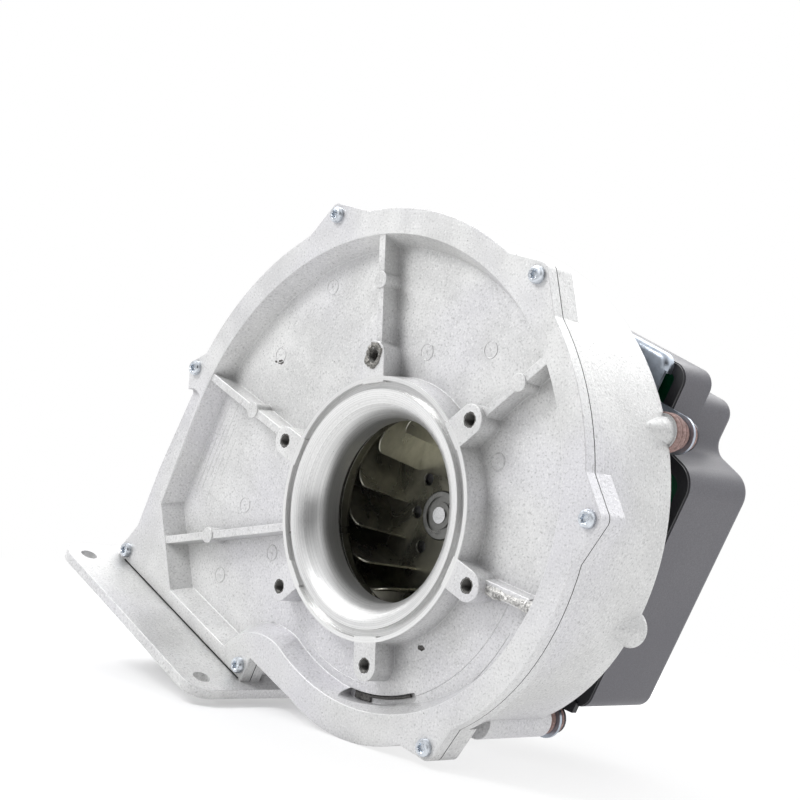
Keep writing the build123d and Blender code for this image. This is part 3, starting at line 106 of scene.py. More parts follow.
class Shader:
    """Small builder for one material's node tree."""

    def __init__(self, name):
        self.material = bpy.data.materials.new(name)
        self.material.use_nodes = True
        self.tree = self.material.node_tree
        self.bsdf = self.tree.nodes["Principled BSDF"]
        self.place = self.node("ShaderNodeTexCoord").outputs["Object"]

    def node(self, kind, **values):
        made = self.tree.nodes.new(kind)
        for key, value in values.items():
            setattr(made, key, value)
        return made

    def link(self, source, target):
        self.tree.links.new(source, target)

    def feed(self, socket, value):
        if isinstance(value, bpy.types.NodeSocket):
            self.link(value, socket)
        elif value is not None:
            socket.default_value = value

    def math(self, operation, a, b=None):
        made = self.node("ShaderNodeMath", operation=operation)
        self.feed(made.inputs[0], a)
        self.feed(made.inputs[1], b)
        return made.outputs[0]

    def both(self, a, b):
        """Product of two masks, or of a mask and its share."""
        return self.math("MULTIPLY", a, b)

    def length(self, a, b):
        """Length of a flat vector."""
        return self.math("SQRT", self.math("ADD", self.both(a, a), self.both(b, b)))

    def noise(self, scale, detail=2.0, rough=0.5, distortion=0.0, place=None):
        made = self.node("ShaderNodeTexNoise")
        self.link(place or self.place, made.inputs["Vector"])
        made.inputs["Scale"].default_value = scale
        made.inputs["Detail"].default_value = detail
        made.inputs["Roughness"].default_value = rough
        made.inputs["Distortion"].default_value = distortion
        return made.outputs["Fac"]

    def cells(self, scale, place=None):
        made = self.node("ShaderNodeTexVoronoi", feature="F1")
        self.link(place or self.place, made.inputs["Vector"])
        made.inputs["Scale"].default_value = scale
        return made.outputs["Distance"]

    def bands(self, direction, scale, place=None, wobble=0.0, wobble_scale=1.0):
        made = self.node("ShaderNodeTexWave", wave_type="BANDS", bands_direction=direction)
        self.link(place or self.place, made.inputs["Vector"])
        made.inputs["Scale"].default_value = scale
        made.inputs["Distortion"].default_value = wobble
        made.inputs["Detail Scale"].default_value = wobble_scale
        return made.outputs["Fac"]

    def ramp(self, value, low, high, to_low=0.0, to_high=1.0):
        """Smooth step of a value between low and high, from to_low to to_high."""
        made = self.node("ShaderNodeMapRange", interpolation_type="SMOOTHSTEP")
        self.feed(made.inputs["Value"], value)
        limits = (("From Min", low), ("From Max", high), ("To Min", to_low), ("To Max", to_high))
        for key, number in limits:
            made.inputs[key].default_value = number
        return made.outputs["Result"]

    def mix(self, factor, a, b):
        """Mix of two colours, each a tuple or a socket."""
        made = self.node("ShaderNodeMix", data_type="RGBA")
        self.feed(made.inputs["Factor"], factor)
        for key, value in (("A_Color", a), ("B_Color", b)):
            socket = [k for k in made.inputs if k.identifier == key][0]
            self.feed(socket, (*value, 1.0) if isinstance(value, tuple) else value)
        return [k for k in made.outputs if k.type == "RGBA"][0]

    def mix_value(self, factor, a, b):
        made = self.node("ShaderNodeMix", data_type="FLOAT")
        for key, value in (("Factor", factor), ("A", a), ("B", b)):
            self.feed(made.inputs[key], value)
        return made.outputs[0]

    def mix_normal(self, factor, a, b):
        made = self.node("ShaderNodeMix", data_type="VECTOR")
        self.feed(made.inputs["Factor"], factor)
        for key, value in (("A_Vector", a), ("B_Vector", b)):
            self.link(value, [k for k in made.inputs if k.identifier == key][0])
        return [k for k in made.outputs if k.type == "VECTOR"][0]

    def axes(self):
        made = self.node("ShaderNodeSeparateXYZ")
        self.link(self.place, made.inputs[0])
        return made.outputs

    def plain_normal(self):
        return self.node("ShaderNodeNewGeometry").outputs["Normal"]

    def bump(self, height, distance, normal=None):
        made = self.node("ShaderNodeBump")
        made.inputs["Strength"].default_value = 1.0
        made.inputs["Distance"].default_value = distance
        self.link(height, made.inputs["Height"])
        if normal is not None:
            self.link(normal, made.inputs["Normal"])
        return made.outputs["Normal"]

    def soft_edges(self, radius):
        """Normal rounded over sharp edges, and a mask of those edges."""
        made = self.node("ShaderNodeBevel", samples=4)
        made.inputs["Radius"].default_value = radius
        rounded = made.outputs["Normal"]
        agree = self.node("ShaderNodeVectorMath", operation="DOT_PRODUCT")
        self.link(rounded, agree.inputs[0])
        self.link(self.plain_normal(), agree.inputs[1])
        return rounded, self.ramp(agree.outputs["Value"], 0.995, 0.90)

    def corners(self, reach, darkest):
        """Multiplier that falls towards darkest in corners and recesses: painted shade from ambient
        occlusion.
        """
        made = self.node("ShaderNodeAmbientOcclusion", samples=6)
        made.inputs["Distance"].default_value = reach
        return self.ramp(made.outputs["AO"], 0.35, 0.95, darkest, 1.0)

    def finish(self, colour, rough, metallic, normal=None, **extra):
        colour = (*colour, 1.0) if isinstance(colour, tuple) else colour
        self.feed(self.bsdf.inputs["Base Color"], colour)
        self.feed(self.bsdf.inputs["Roughness"], rough)
        self.feed(self.bsdf.inputs["Metallic"], metallic)
        if normal is not None:
            self.link(normal, self.bsdf.inputs["Normal"])
        for key, value in extra.items():
            self.feed(self.bsdf.inputs[key.replace("_", " ")], value)
        return self.material


# Cast aluminium; the lengths are in metres, and a noise is its scale, detail, roughness, distortion
CAST_TONE = (0.71, 0.71, 0.705)
CAST_METALLIC = 0.45
CAST_EDGE = 0.0007
SPECKLE = (980.0, 3.0, 0.66)
GRIT = (2600.0, 1.0, 0.5)
CLOUDS = (38.0, 4.0, 0.6)
TINT = (13.0, 2.0, 0.5)
FLOW = (90.0, 3.0, 0.65, 1.2)
LILAC = (0.94, 0.93, 0.99)  # shares of the tone
CAST_LAYERS = (  # noise, where its layer starts and is full, its share, its tone over the casting's
    ("flow", 0.58, 0.74, 0.30, 0.74),
    ("speckle", 0.53, 0.70, 0.70, 0.55),
    ("speckle", 0.46, 0.30, 0.60, 1.28),
)
PORE_SCALE = 240.0
CAST_BUMPS = (("grit", 0.00006), ("speckle", 0.00026), ("flow", 0.00030))

# Turned faces of the intake, in metres from the shaft and behind the land
FACED_METALLIC = 0.66
FACED_RADIUS = (0.0612, 0.0609)
GROOVE_RADIUS = (0.0549, 0.0551)
GROOVE_DEPTH = (0.0003, 0.0006)
THROAT_RADIUS = (0.0500, 0.0498)
THROAT_DEPTH = (0.0095, 0.0140)  # where the bright bell gives way to the throat's painted shade
TOOL_LINES = 4200.0  # lines per metre
FACED_BUMPS = (("lines", 0.00004), ("speckle", 0.00008))  # relief round the faces, which have none


def cast_colour(s, tone, noises, edge):
    """Clouds, lilac tint, flow lines, speckle, pores, a painted highlight on the edges and painted
    shade in the corners.
    """
    lilac = tuple(v * share for v, share in zip(tone, LILAC))
    colour = s.mix(s.ramp(noises["clouds"], 0.35, 0.68), toned(tone, 0.90), toned(tone, 1.05))
    colour = s.mix(s.ramp(s.noise(*TINT), 0.40, 0.70, 0.0, 0.7), colour, lilac)
    for key, start, full, share, factor in CAST_LAYERS:
        colour = s.mix(s.ramp(noises[key], start, full, 0.0, share), colour, toned(tone, factor))
    sound = s.ramp(s.cells(PORE_SCALE), 0.05, 0.09)
    porous = s.ramp(s.noise(70.0), 0.56, 0.62)
    sound = s.math("MAXIMUM", sound, s.math("SUBTRACT", 1.0, porous))
    colour = s.mix(sound, toned(tone, 0.40), colour)
    # Painted highlight: the edges are painted lighter.
    colour = s.mix(s.both(edge, 0.55), colour, toned(tone, 1.45))
    # Painted shade: ambient occlusion darkens corners and recesses.
    return s.mix(s.corners(0.009, 0.72), (0.0, 0.0, 0.0), colour)


def bumped(s, noises, bumps, normal):
    for key, height in bumps:
        normal = s.bump(noises[key], height, normal)
    return normal


def cast_metal(name, tone, faced=False):
    """Die-cast aluminium; a faced one has its intake's lip, groove and bell turned."""
    s = Shader(name)
    rounded, edge = s.soft_edges(CAST_EDGE)
    noises = {"speckle": s.noise(*SPECKLE), "clouds": s.noise(*CLOUDS), "flow": s.noise(*FLOW)}
    colour = cast_colour(s, tone, noises, edge)
    rough = s.ramp(noises["clouds"], 0.3, 0.7, 0.38, 0.50)
    if faced:
        return faced_metal(s, tone, noises, rounded, colour, rough)
    noises["grit"] = s.noise(*GRIT)
    return s.finish(colour, rough, CAST_METALLIC, bumped(s, noises, CAST_BUMPS, rounded))


def faced_metal(s, tone, noises, rounded, colour, rough):
    """Tool lines on the intake's turned faces, with painted shade in the groove and in the throat."""
    x, depth, z = s.axes()
    radius = s.length(x, z)
    faced = s.ramp(radius, *FACED_RADIUS)
    groove = s.both(s.ramp(radius, *GROOVE_RADIUS), s.ramp(depth, *GROOVE_DEPTH))
    throat = s.both(s.ramp(depth, *THROAT_DEPTH), s.ramp(radius, *THROAT_RADIUS))
    spread = s.node("ShaderNodeCombineXYZ")
    s.link(s.both(radius, TOOL_LINES), spread.inputs[0])
    s.link(s.both(depth, TOOL_LINES), spread.inputs[1])
    noises["lines"] = s.noise(1.0, place=spread.outputs[0])
    cut = s.mix(s.ramp(noises["lines"], 0.35, 0.65), toned(tone, 0.92), toned(tone, 1.24))
    cut = s.mix(s.ramp(noises["speckle"], 0.56, 0.72, 0.0, 0.35), cut, toned(tone, 0.60))
    # Painted shade: the groove is painted darker.
    cut = s.mix(s.both(groove, 0.35), cut, toned(tone, 0.50))
    # Painted shade: the throat deep in the intake is painted dark.
    cut = s.mix(s.both(throat, 0.60), cut, toned(tone, 0.24))
    colour = s.mix(faced, colour, cut)
    rough = s.mix_value(faced, rough, s.ramp(noises["clouds"], 0.3, 0.7, 0.27, 0.37))
    metallic = s.mix_value(faced, CAST_METALLIC, FACED_METALLIC)
    normal = s.mix_normal(faced, bumped(s, noises, FACED_BUMPS, rounded), s.plain_normal())
    return s.finish(colour, rough, metallic, normal)


def broken_metal(name, tone):
    """Torn casting skin: coarse, with dark pits."""
    s = Shader(name)
    fine = s.noise(1100.0, 3.0, 0.7)
    coarse = s.noise(330.0, 2.0, 0.6)
    colour = s.mix(s.ramp(fine, 0.36, 0.60), toned(tone, 0.45), tone)
    colour = s.mix(s.ramp(coarse, 0.54, 0.66, 0.0, 0.8), colour, toned(tone, 0.22))
    return s.finish(colour, 0.45, 0.6, s.bump(coarse, 0.0007, s.bump(fine, 0.0003)))


# Other finishes
def plated(name, tone, rough=0.28, scale=420.0, metallic=1.0):
    """Zinc-plated or ground steel with fine mottling."""
    s = Shader(name)
    mottle = s.noise(scale, 3.0, 0.6)
    colour = s.mix(s.ramp(mottle, 0.35, 0.65), toned(tone, 0.80), tone)
    rough = s.ramp(mottle, 0.3, 0.7, rough - 0.05, rough + 0.10)
    return s.finish(colour, rough, metallic, s.bump(mottle, 0.00006))


def moulded(name, tone, rough, grain=1400.0, depth=0.00008, gloss=0.5):
    """Moulded plastic with a fine spark-eroded grain and slight handling marks."""
    s = Shader(name)
    fine = s.noise(grain, 2.0, 0.6)
    patch = s.noise(22.0, 3.0, 0.55)
    colour = s.mix(s.ramp(fine, 0.35, 0.7), toned(tone, 0.86), toned(tone, 1.12))
    colour = s.mix(s.ramp(patch, 0.35, 0.7, 0.0, 0.35), colour, toned(tone, 1.18))
    rough = s.ramp(patch, 0.3, 0.7, rough - 0.06, rough + 0.08)
    return s.finish(colour, rough, 0.0, s.bump(fine, depth), Specular_IOR_Level=gloss)


def rubber(name, tone):
    """Dull rubber with a fine grain."""
    s = Shader(name)
    fine = s.noise(700.0, 3.0, 0.6)
    colour = s.mix(s.ramp(fine, 0.35, 0.7), toned(tone, 0.72), toned(tone, 1.25))
    return s.finish(colour, 0.72, 0.0, s.bump(fine, 0.00018), Specular_IOR_Level=0.35)


def coated_sheet(name, tone):
    """Olive coated sheet with a satin sheen, smears, dust and bright cut edges."""
    s = Shader(name)
    dust_tone, edge_tone = (0.45, 0.45, 0.42), (0.62, 0.62, 0.58)
    rounded, edge = s.soft_edges(0.00035)
    smear = s.noise(34.0, 4.0, 0.6, 0.6)
    dust = s.both(s.ramp(s.cells(520.0), 0.16, 0.06), s.ramp(s.noise(120.0), 0.62, 0.70))
    colour = s.mix(s.ramp(smear, 0.35, 0.68), toned(tone, 0.75), toned(tone, 1.35))
    colour = s.mix(dust, colour, dust_tone)
    colour = s.mix(s.both(edge, 0.75), colour, edge_tone)
    normal = s.bump(s.noise(900.0), 0.00005, rounded)
    return s.finish(colour, s.ramp(smear, 0.3, 0.7, 0.22, 0.36), 0.9, normal)


def board_finish(name):
    """Solder mask with copper tracks under it and tinned pads, along the board's own axes."""
    s = Shader(name)
    mask, track, tin = (0.004, 0.075, 0.032), (0.008, 0.135, 0.055), (0.62, 0.60, 0.52)
    turn = s.node("ShaderNodeMapping")
    turn.inputs["Rotation"].default_value = (0.0, TILT, 0.0)
    s.link(s.place, turn.inputs["Vector"])
    along = turn.outputs[0]
    lines = s.ramp(s.bands("X", 90.0, along, 3.0, 3.0), 0.62, 0.68)
    tracks = s.both(lines, s.ramp(s.noise(28.0, 1.0), 0.48, 0.50))
    pads = s.both(s.ramp(s.cells(150.0, along), 0.20, 0.16), s.ramp(s.noise(60.0), 0.58, 0.60))
    colour = s.mix(pads, s.mix(tracks, mask, track), tin)
    return s.finish(colour, 0.22, pads, s.bump(tracks, 0.00004), Coat_Weight=0.5, Coat_Roughness=0.12)


def layered(name, low, high, scale, rough, metallic, height):
    """Fine bands along the shaft: the turns of a winding, or a stack of thin sheets."""
    s = Shader(name)
    band = s.bands("Y", scale)
    return s.finish(s.mix(band, low, high), rough, metallic, s.bump(band, height))


def stacked(name):
    return layered(name, (0.10, 0.10, 0.11), (0.34, 0.34, 0.36), 600.0, 0.5, 0.8, 0.0001)


def felt(name):
    """Pressed felt, dull and rough."""
    s = Shader(name)
    fibre = s.noise(1300.0, 5.0, 0.75)
    colour = s.mix(s.ramp(fibre, 0.35, 0.7), (0.12, 0.115, 0.105), (0.30, 0.29, 0.27))
    return s.finish(colour, 0.95, 0.0, s.bump(fibre, 0.0005), Specular_IOR_Level=0.1)


CAST_FRONT = cast_metal("cast_front", CAST_TONE, faced=True)
ZINC = plated("zinc_plate", (0.70, 0.74, 0.79))
DARK_ZINC = plated("black_zinc", (0.085, 0.085, 0.095), 0.36, 420.0, 0.8)
GROUND = plated("ground_steel", (0.74, 0.74, 0.75), 0.18, 260.0)
THREAD = plated("cut_thread", (0.115, 0.112, 0.105), 0.42, 500.0, 0.6)
SHEET = coated_sheet("impeller_coat", (0.44, 0.43, 0.36))
RUBBER = rubber("isolator_rubber", (0.35, 0.235, 0.215))
BLACK_RUBBER = rubber("black_rubber", (0.02, 0.02, 0.022))
BLACK_PLASTIC = moulded("black_plastic", (0.016, 0.016, 0.019), 0.42)
TORN_GATE = broken_metal("torn_gate", (0.30, 0.29, 0.27))
# Dark pit finish, also used for the painted shade in the niches.
DARK_PIT_AND_SHADE = broken_metal("dark_pit_and_shade", (0.13, 0.125, 0.12))
TORN_CREST = broken_metal("torn_crest", (0.72, 0.71, 0.69))

DRESSED = (  # finish, CAD nodes that have it
    (CAST_FRONT, "front_cover"),
    (cast_metal("cast_rear", CAST_TONE), "rear_casing"),
    (cast_metal("cast_shield", (0.66, 0.66, 0.66)), "end_shield"),
    (cast_metal("cast_sink", (0.60, 0.60, 0.61)), "heat_sink"),
    (ZINC, "cover_screws isolator_screws electronics_cover_screws seal_plate_screws shield_screws"),
    (ZINC, "hub_clamp_ring seal_plate front_bearing_cage rear_bearing_cage"),
    (ZINC, "isolator_sleeves board_spacers"),
    (DARK_ZINC, "isolator_washers"),
    (GROUND, "shaft wave_washer retaining_ring"),
    (GROUND, "front_bearing_outer_ring front_bearing_inner_ring front_bearing_balls"),
    (GROUND, "rear_bearing_outer_ring rear_bearing_inner_ring rear_bearing_balls"),
    (SHEET, "impeller_blades impeller_back_plate"),
    # Painted shade: the front ring has the impeller's coat at about a third of its tone.
    (coated_sheet("impeller_ring_shaded_coat", (0.13, 0.127, 0.105)), "impeller_front_ring"),
    (plated("hub_steel", (0.25, 0.25, 0.24), 0.32, 300.0), "impeller_hub"),
    (plated("plate_steel", (0.50, 0.55, 0.62), 0.34, 240.0), "motor_plate"),
    (plated("motor_shell", (0.58, 0.58, 0.60), 0.35), "motor_housing"),
    (plated("tinned", (0.75, 0.74, 0.70), 0.22), "connector_pins"),
    (stacked("laminations"), "stator_core"),
    (stacked("rotor_stack"), "rotor_core"),
    (layered("copper", (0.25, 0.08, 0.03), (0.72, 0.30, 0.12), 320.0, 0.32, 0.9, 0.0003),
     "stator_windings"),
    (felt("felt"), "shaft_seal"),
    (RUBBER, "rubber_isolators"),
    (BLACK_RUBBER, "casing_gasket"),
    (board_finish("solder_mask"), "circuit_board"),
    (moulded("grey_cover", (0.118, 0.116, 0.130), 0.46), "electronics_cover"),
    (moulded("magnet", (0.06, 0.06, 0.063), 0.45), "rotor_magnets"),
    (moulded("sleeve_film", (0.02, 0.02, 0.035), 0.25, 300.0, 0.00003, 0.6), "capacitors"),
    (moulded("ferrite", (0.05, 0.05, 0.052), 0.7), "choke"),
    (BLACK_PLASTIC, "board_frame connector_block power_transistors"),
)
FINISH = {node: finish for finish, nodes in DRESSED for node in nodes.split()}

for name, obj in NODES.items():
    if not obj.material_slots:
        obj.data.materials.append(FINISH[name])
    for slot in obj.material_slots:
        slot.material = FINISH[name]


# Mesh helpers
def island_boxes(node):
    """Lowest and highest corner of each separate solid of a CAD node, in metres, in a fixed order."""
    shape = bmesh.new()
    shape.from_mesh(NODES[node].data)
    shape.transform(NODES[node].matrix_world)
    bmesh.ops.remove_doubles(shape, verts=shape.verts, dist=1e-6)
    left = set(shape.verts)
    boxes = []
    while left:
        reach = [left.pop()]
        found = list(reach)
        while reach:
            for edge in reach.pop().link_edges:
                for vert in edge.verts:
                    if vert in left:
                        left.remove(vert)
                        reach.append(vert)
                        found.append(vert)
        low = Vector([min(v.co[k] for v in found) for k in range(3)])
        high = Vector([max(v.co[k] for v in found) for k in range(3)])
        boxes.append((low, high))
    shape.free()
    return sorted(boxes, key=lambda box: tuple(box[0]))


def skin(shape, rings, close_start=True, close_end=True):
    """Faces between rings of points, with capped ends."""
    made = [[shape.verts.new(p) for p in ring] for ring in rings]
    for a, b in zip(made, made[1:]):
        count = len(a)
        for k in range(count):
            shape.faces.new((a[k], a[(k + 1) % count], b[(k + 1) % count], b[k]))
    if close_start:
        shape.faces.new(list(reversed(made[0])))
    if close_end:
        shape.faces.new(made[-1])


def turned_body(shape, place, profile, facing=1.0, segments=36, lobed=0):
    """Round body about an axis along Y through place; profile holds (radius, depth) in mm from place.

    facing 1 sends depth along +Y, -1 along -Y. The first lobed rings are six-lobed.
    """
    rings = []
    for number, (radius, depth) in enumerate(profile):
        ring = []
        for a in round_angles(segments):
            r = radius * (1.0 + LOBE_SHARE * math.cos(LOBES * a)) if number < lobed else radius
            x, z = r * math.cos(a), r * math.sin(a)
            ring.append(place + Vector((x, facing * depth, -facing * z)) * MM)
        rings.append(ring)
    skin(shape, rings)


def arc_points(radius, first, last, count):
    return [polar(radius, first + (last - first) * k / (count - 1)) for k in range(count)]


def strip(shape, path, wide, front, rear):
    """Bar along a path in the maker's view, between two depths, with its front edges eased."""
    rings = []
    ease = min(0.25 * wide, 0.5 * (rear - front))
    top = 1.0 - 2 * ease / wide  # share of the half width that stays flat in front
    section = (
        (-1.0, rear), (-1.0, front + ease), (-top, front),
        (top, front), (1.0, front + ease), (1.0, rear),
    )
    for k, (x, y) in enumerate(path):
        before, after = path[max(0, k - 1)], path[min(len(path) - 1, k + 1)]
        ahead = Vector((after[0] - before[0], after[1] - before[1])).normalized()
        side = Vector((-ahead.y, ahead.x)) * wide / 2
        rings.append([spot(x + side.x * across, y + side.y * across, depth)
                      for across, depth in section])
    skin(shape, rings)


def bulges(base, height, power, start, half, angles, groove=None):
    """Profile of two round bulges, one behind the other, with an optional groove between them."""
    points = []
    for part in range(2):
        for a in angles:
            depth = start + half * (part + 0.5 - 0.5 * math.cos(a))
            points.append((base + height * math.sin(a) ** power, depth))
        if part == 0 and groove is not None:
            points.append((groove, start + half))
    return points


def piece(name, shape, finish, body="housing", instead=(), smooth=20.0):
    """Turns a bmesh into a piece that rides on a body; edges over smooth degrees stay sharp."""
    bmesh.ops.recalc_face_normals(shape, faces=shape.faces)
    mesh = bpy.data.meshes.new(name)
    shape.to_mesh(mesh)
    shape.free()
    mesh.shade_smooth()
    mesh.set_sharp_from_angle(angle=math.radians(smooth))
    made = bpy.data.objects.new(name, mesh)
    bpy.context.scene.collection.objects.link(made)
    mesh.materials.append(finish)
    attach(made, body)
    if instead:
        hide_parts(*instead)


# Fasteners; recess and head are shares of a radius and of the head's height
RECESS_SHARE = 0.50  # radius of the recess over the head's
RECESS = ((0.30, 0.36), (0.86, 0.42), (0.96, 0.94), (1.10, 1.0))
HEAD = ((0.70, 0.985), (0.86, 0.90), (0.96, 0.68), (0.995, 0.40), (0.995, 0.0))
LOBES = 6
LOBE_SHARE = 0.15
THREAD_START = 0.6  # mm under the head
NECK, CREST, ROOT, TIP = 0.98, 0.99, 0.86, 0.70  # shares of the shank's radius
SCREWS = (  # CAD node, shank radius, head height, pitch, 1 for a head in front, finish
    ("cover_screws", 2.0, 2.6, 0.7, 1.0, ZINC),
    ("isolator_screws", 2.4, 3.36, 0.8, -1.0, DARK_ZINC),
    ("electronics_cover_screws", 1.5, 2.1, 0.5, -1.0, ZINC),
)


def screw_profile(head_r, head_tall, shank_r, length, pitch):
    """Pan head with a recess, then a threaded shank; the recess comes first."""
    profile = [(head_r * RECESS_SHARE * r, -head_tall * tall) for r, tall in RECESS]
    profile += [(head_r * r, -head_tall * tall) for r, tall in HEAD]
    profile.append((shank_r * NECK, 0.0))
    depth = THREAD_START
    while depth < length - pitch:
        profile += [(shank_r * ROOT, depth), (shank_r * CREST, depth + pitch / 2)]
        depth += pitch
    return profile + [(shank_r * ROOT, length - pitch / 2), (shank_r * TIP, length - 0.02)]


def pan_screws(node, shank_r, head_tall, pitch, facing, finish):
    """Screws in place of a CAD node's plain ones."""
    shape = bmesh.new()
    for low, high in island_boxes(node):
        middle = (low + high) / 2
        head_r = (high.x - low.x) / 2 / MM
        total = (high.y - low.y) / MM
        seat = low.y + head_tall * MM if facing > 0 else high.y - head_tall * MM
        profile = screw_profile(head_r, head_tall, shank_r, total - head_tall, pitch)
        turned_body(shape, Vector((middle.x, seat, middle.z)), profile, facing, 48, len(RECESS))
    piece(node + "_detail", shape, finish, instead=(node,), smooth=28.0)


# Tapped bosses, in mm
TAP_ROOT, TAP_CREST = 2.98, 2.46
TAP_START, TAP_STEP, TAP_RINGS = 0.35, 0.5, 19
MOUTH = (  # radius, depth, height of its wave
    (2.92, 0.8, 0.0), (3.02, -0.01, 0.0), (3.50, -0.03, 0.20), (3.56, 0.02, 0.20),
)


def boss_centres():
    return [spot(*polar(BOSS_CIRCLE, BOSS_STEP * k), 0.0) for k in range(BOSS_COUNT)]


def boss_threads():
    """Cut threads on the walls of the tapped holes round the intake."""
    shape = bmesh.new()
    for centre in boss_centres():
        rings = [circle(centre, TAP_CREST if n % 2 else TAP_ROOT, TAP_START + TAP_STEP * n, 36)
                 for n in range(TAP_RINGS)]
        skin(shape, rings, False, True)
    piece("boss_threads", shape, THREAD)


def boss_mouths():
    """Dark ragged countersink round each tapped hole, as a thin ring on the boss face."""
    shape = bmesh.new()
    for k, centre in enumerate(boss_centres()):
        rings = []
        for radius, depth, ragged in MOUTH:
            ring = []
            for a in round_angles(44):
                wave = 0.5 * math.sin(5 * a + k) + 0.5 * math.sin(11 * a + 2 * k)
                r = radius + ragged * wave
                ring.append(centre + Vector((r * math.cos(a), depth, r * math.sin(a))) * MM)
            rings.append(ring)
        skin(shape, rings, False, False)
    piece("boss_mouths", shape, THREAD, smooth=25.0)


# Marks of casting, in the maker's view, in mm and degrees
SEAMS = ((86.0, -46.0, 2.0), (93.5, -72.0, -6.0), (80.5, -108.0, -68.0))  # radius, first and last angle
TOOL_MARKS = (  # x, upper and lower end
    (-139.5, -16.0, -52.0), (-136.2, -10.0, -61.0), (-132.6, -19.0, -57.0), (-129.4, -5.0, -48.0),
    (-125.6, -14.0, -60.0), (-121.0, -22.0, -44.0),
)
MARK_WIDE = 0.5
MARK_REAR = SUNK_FLOOR + 0.1
NICHE_SHADE_ARCS = (  # painted shade in the niches; radius, first and last angle, points, width, front and rear depth
    (86.5, -73.0, -66.0, 14, 3.7, 13.2, 13.98),
    (85.4, -66.0, -48.5, 30, 1.4, 12.6, 13.98),
    (101.5, -7.5, -3.5, 8, 1.6, 9.6, 11.0),
)
PITS = ((51.8, -42.2, 1.5), (-109.9, 27.6, 1.5), (-113.3, 26.4, 0.8))  # x, y, size
PIT_RINGS = ((1.15, 0.06), (1.0, -0.06), (0.55, -0.03), (0.2, 0.0))  # share of the size, depth
PIT_DEPTH = SUNK_FLOOR - 0.03
EJECTORS = (
    (-93.9, 75.6), (-111.9, 30.7), (-15.9, 73.6), (49.5, 49.4), (-62.1, -57.1), (-92.7, -87.1),
    (-94.8, -47.1), (-40.0, -88.0), (20.0, 90.0),
)
EJECTOR_PROFILE = ((4.1, 0.1), (4.05, -0.16), (3.75, -0.16), (3.65, -0.02), (0.4, -0.02), (0.4, 0.1))
GAP_SHADE_LINE = [(-160.0 + 4.0 * k, -115.95) for k in range(31)]  # path of the painted shadow along the end of the front cover on the flange


def casting_marks():
    """Fine raised lines on the sunk floor: die seams and tool marks."""
    shape = bmesh.new()
    for radius, first, last in SEAMS:
        strip(shape, arc_points(radius, first, last, 40), MARK_WIDE, SUNK_FLOOR - 0.14, MARK_REAR)
    for x, top, low in TOOL_MARKS:
        path = [(x, top + (low - top) * k / 11) for k in range(12)]
        strip(shape, path, MARK_WIDE, SUNK_FLOOR - 0.07, MARK_REAR)
    piece("casting_marks", shape, CAST_FRONT)


def niche_shade_and_pits():
    """Painted shade as dark strips in the low niche and by the right rib; a blind hole and torn spots
    on the floor.
    """
    shape = bmesh.new()
    # Painted shade: dark strips in the niches.
    for radius, first, last, count, wide, front, rear in NICHE_SHADE_ARCS:
        strip(shape, arc_points(radius, first, last, count), wide, front, rear)
    for x, y, size in PITS:
        centre = spot(x, y, PIT_DEPTH)
        rings = []
        for share, depth in PIT_RINGS:
            ring = []
            for a in round_angles(24):
                across = share * size * (1.35 + 0.10 * math.sin(3 * a + x))
                along = share * size * (0.75 + 0.10 * math.cos(5 * a))
                ring.append(centre + Vector((across * math.cos(a), depth, along * math.sin(a))) * MM)
            rings.append(ring)
        skin(shape, rings, False, True)
    piece("niche_shade_and_pits", shape, DARK_PIT_AND_SHADE, smooth=25.0)


def flange_gap_shade():
    """Painted shadow: a dark strip in the gap where the front cover's end stands on the outlet flange.
    """
    shape = bmesh.new()
    strip(shape, GAP_SHADE_LINE, 0.55, 1.55, 2.4)
    piece("flange_gap_shade", shape, BLACK_RUBBER, smooth=25.0)


def ejector_marks():
    """Faint round ejector marks on the sunk floor."""
    shape = bmesh.new()
    for x, y in EJECTORS:
        turned_body(shape, spot(x, y, SUNK_FLOOR), EJECTOR_PROFILE)
    piece("ejector_marks", shape, CAST_FRONT)


# Rubber isolators, in mm
PAD_FRONT, PAD_REAR = 5.0, 4.6  # lengths of the pads in front of the motor plate and behind it
PAD_BULGE, PAD_GROOVE, PAD_NECK, PAD_BORE = 0.95, 1.5, 2.2, 3.2
PAD_ANGLES = [math.pi * (k + 0.5) / 7 for k in range(7)]
COLLAR_RADIUS, COLLAR_BULGE, COLLAR_START, COLLAR_HALF = 8.26, 0.75, -6.6, 3.2
COLLAR_ANGLES = [math.pi * k / 8 for k in range(9)]
RUBBER_SEGMENTS = 56


def pad_profile(wide, start, length):
    return bulges(wide - PAD_BULGE, PAD_BULGE, 0.6, start, length / 2, PAD_ANGLES, wide - PAD_GROOVE)


def rubber_rings():
    """Isolators with two bulging pads, each of two ribs, in front of the plate's hole and behind it."""
    shape = bmesh.new()
    for low, high in island_boxes("rubber_isolators"):
        middle = (low + high) / 2
        wide = (high.x - low.x) / 2 / MM
        total = (high.y - low.y) / MM
        behind = total - PAD_REAR
        profile = [(PAD_BORE, 0.0)] + pad_profile(wide, 0.0, PAD_FRONT)
        profile += [(wide - PAD_NECK, PAD_FRONT), (wide - PAD_NECK, behind)]
        profile += pad_profile(wide, behind, PAD_REAR) + [(PAD_BORE, total)]
        start = Vector((middle.x, low.y, middle.z))
        rings = [circle(start, radius, depth, RUBBER_SEGMENTS) for radius, depth in profile]
        skin(shape, rings + rings[:1], False, False)
    bmesh.ops.remove_doubles(shape, verts=shape.verts, dist=1e-7)
    piece("rubber_isolators_detail", shape, RUBBER,
          instead=("rubber_isolators",), smooth=50.0)


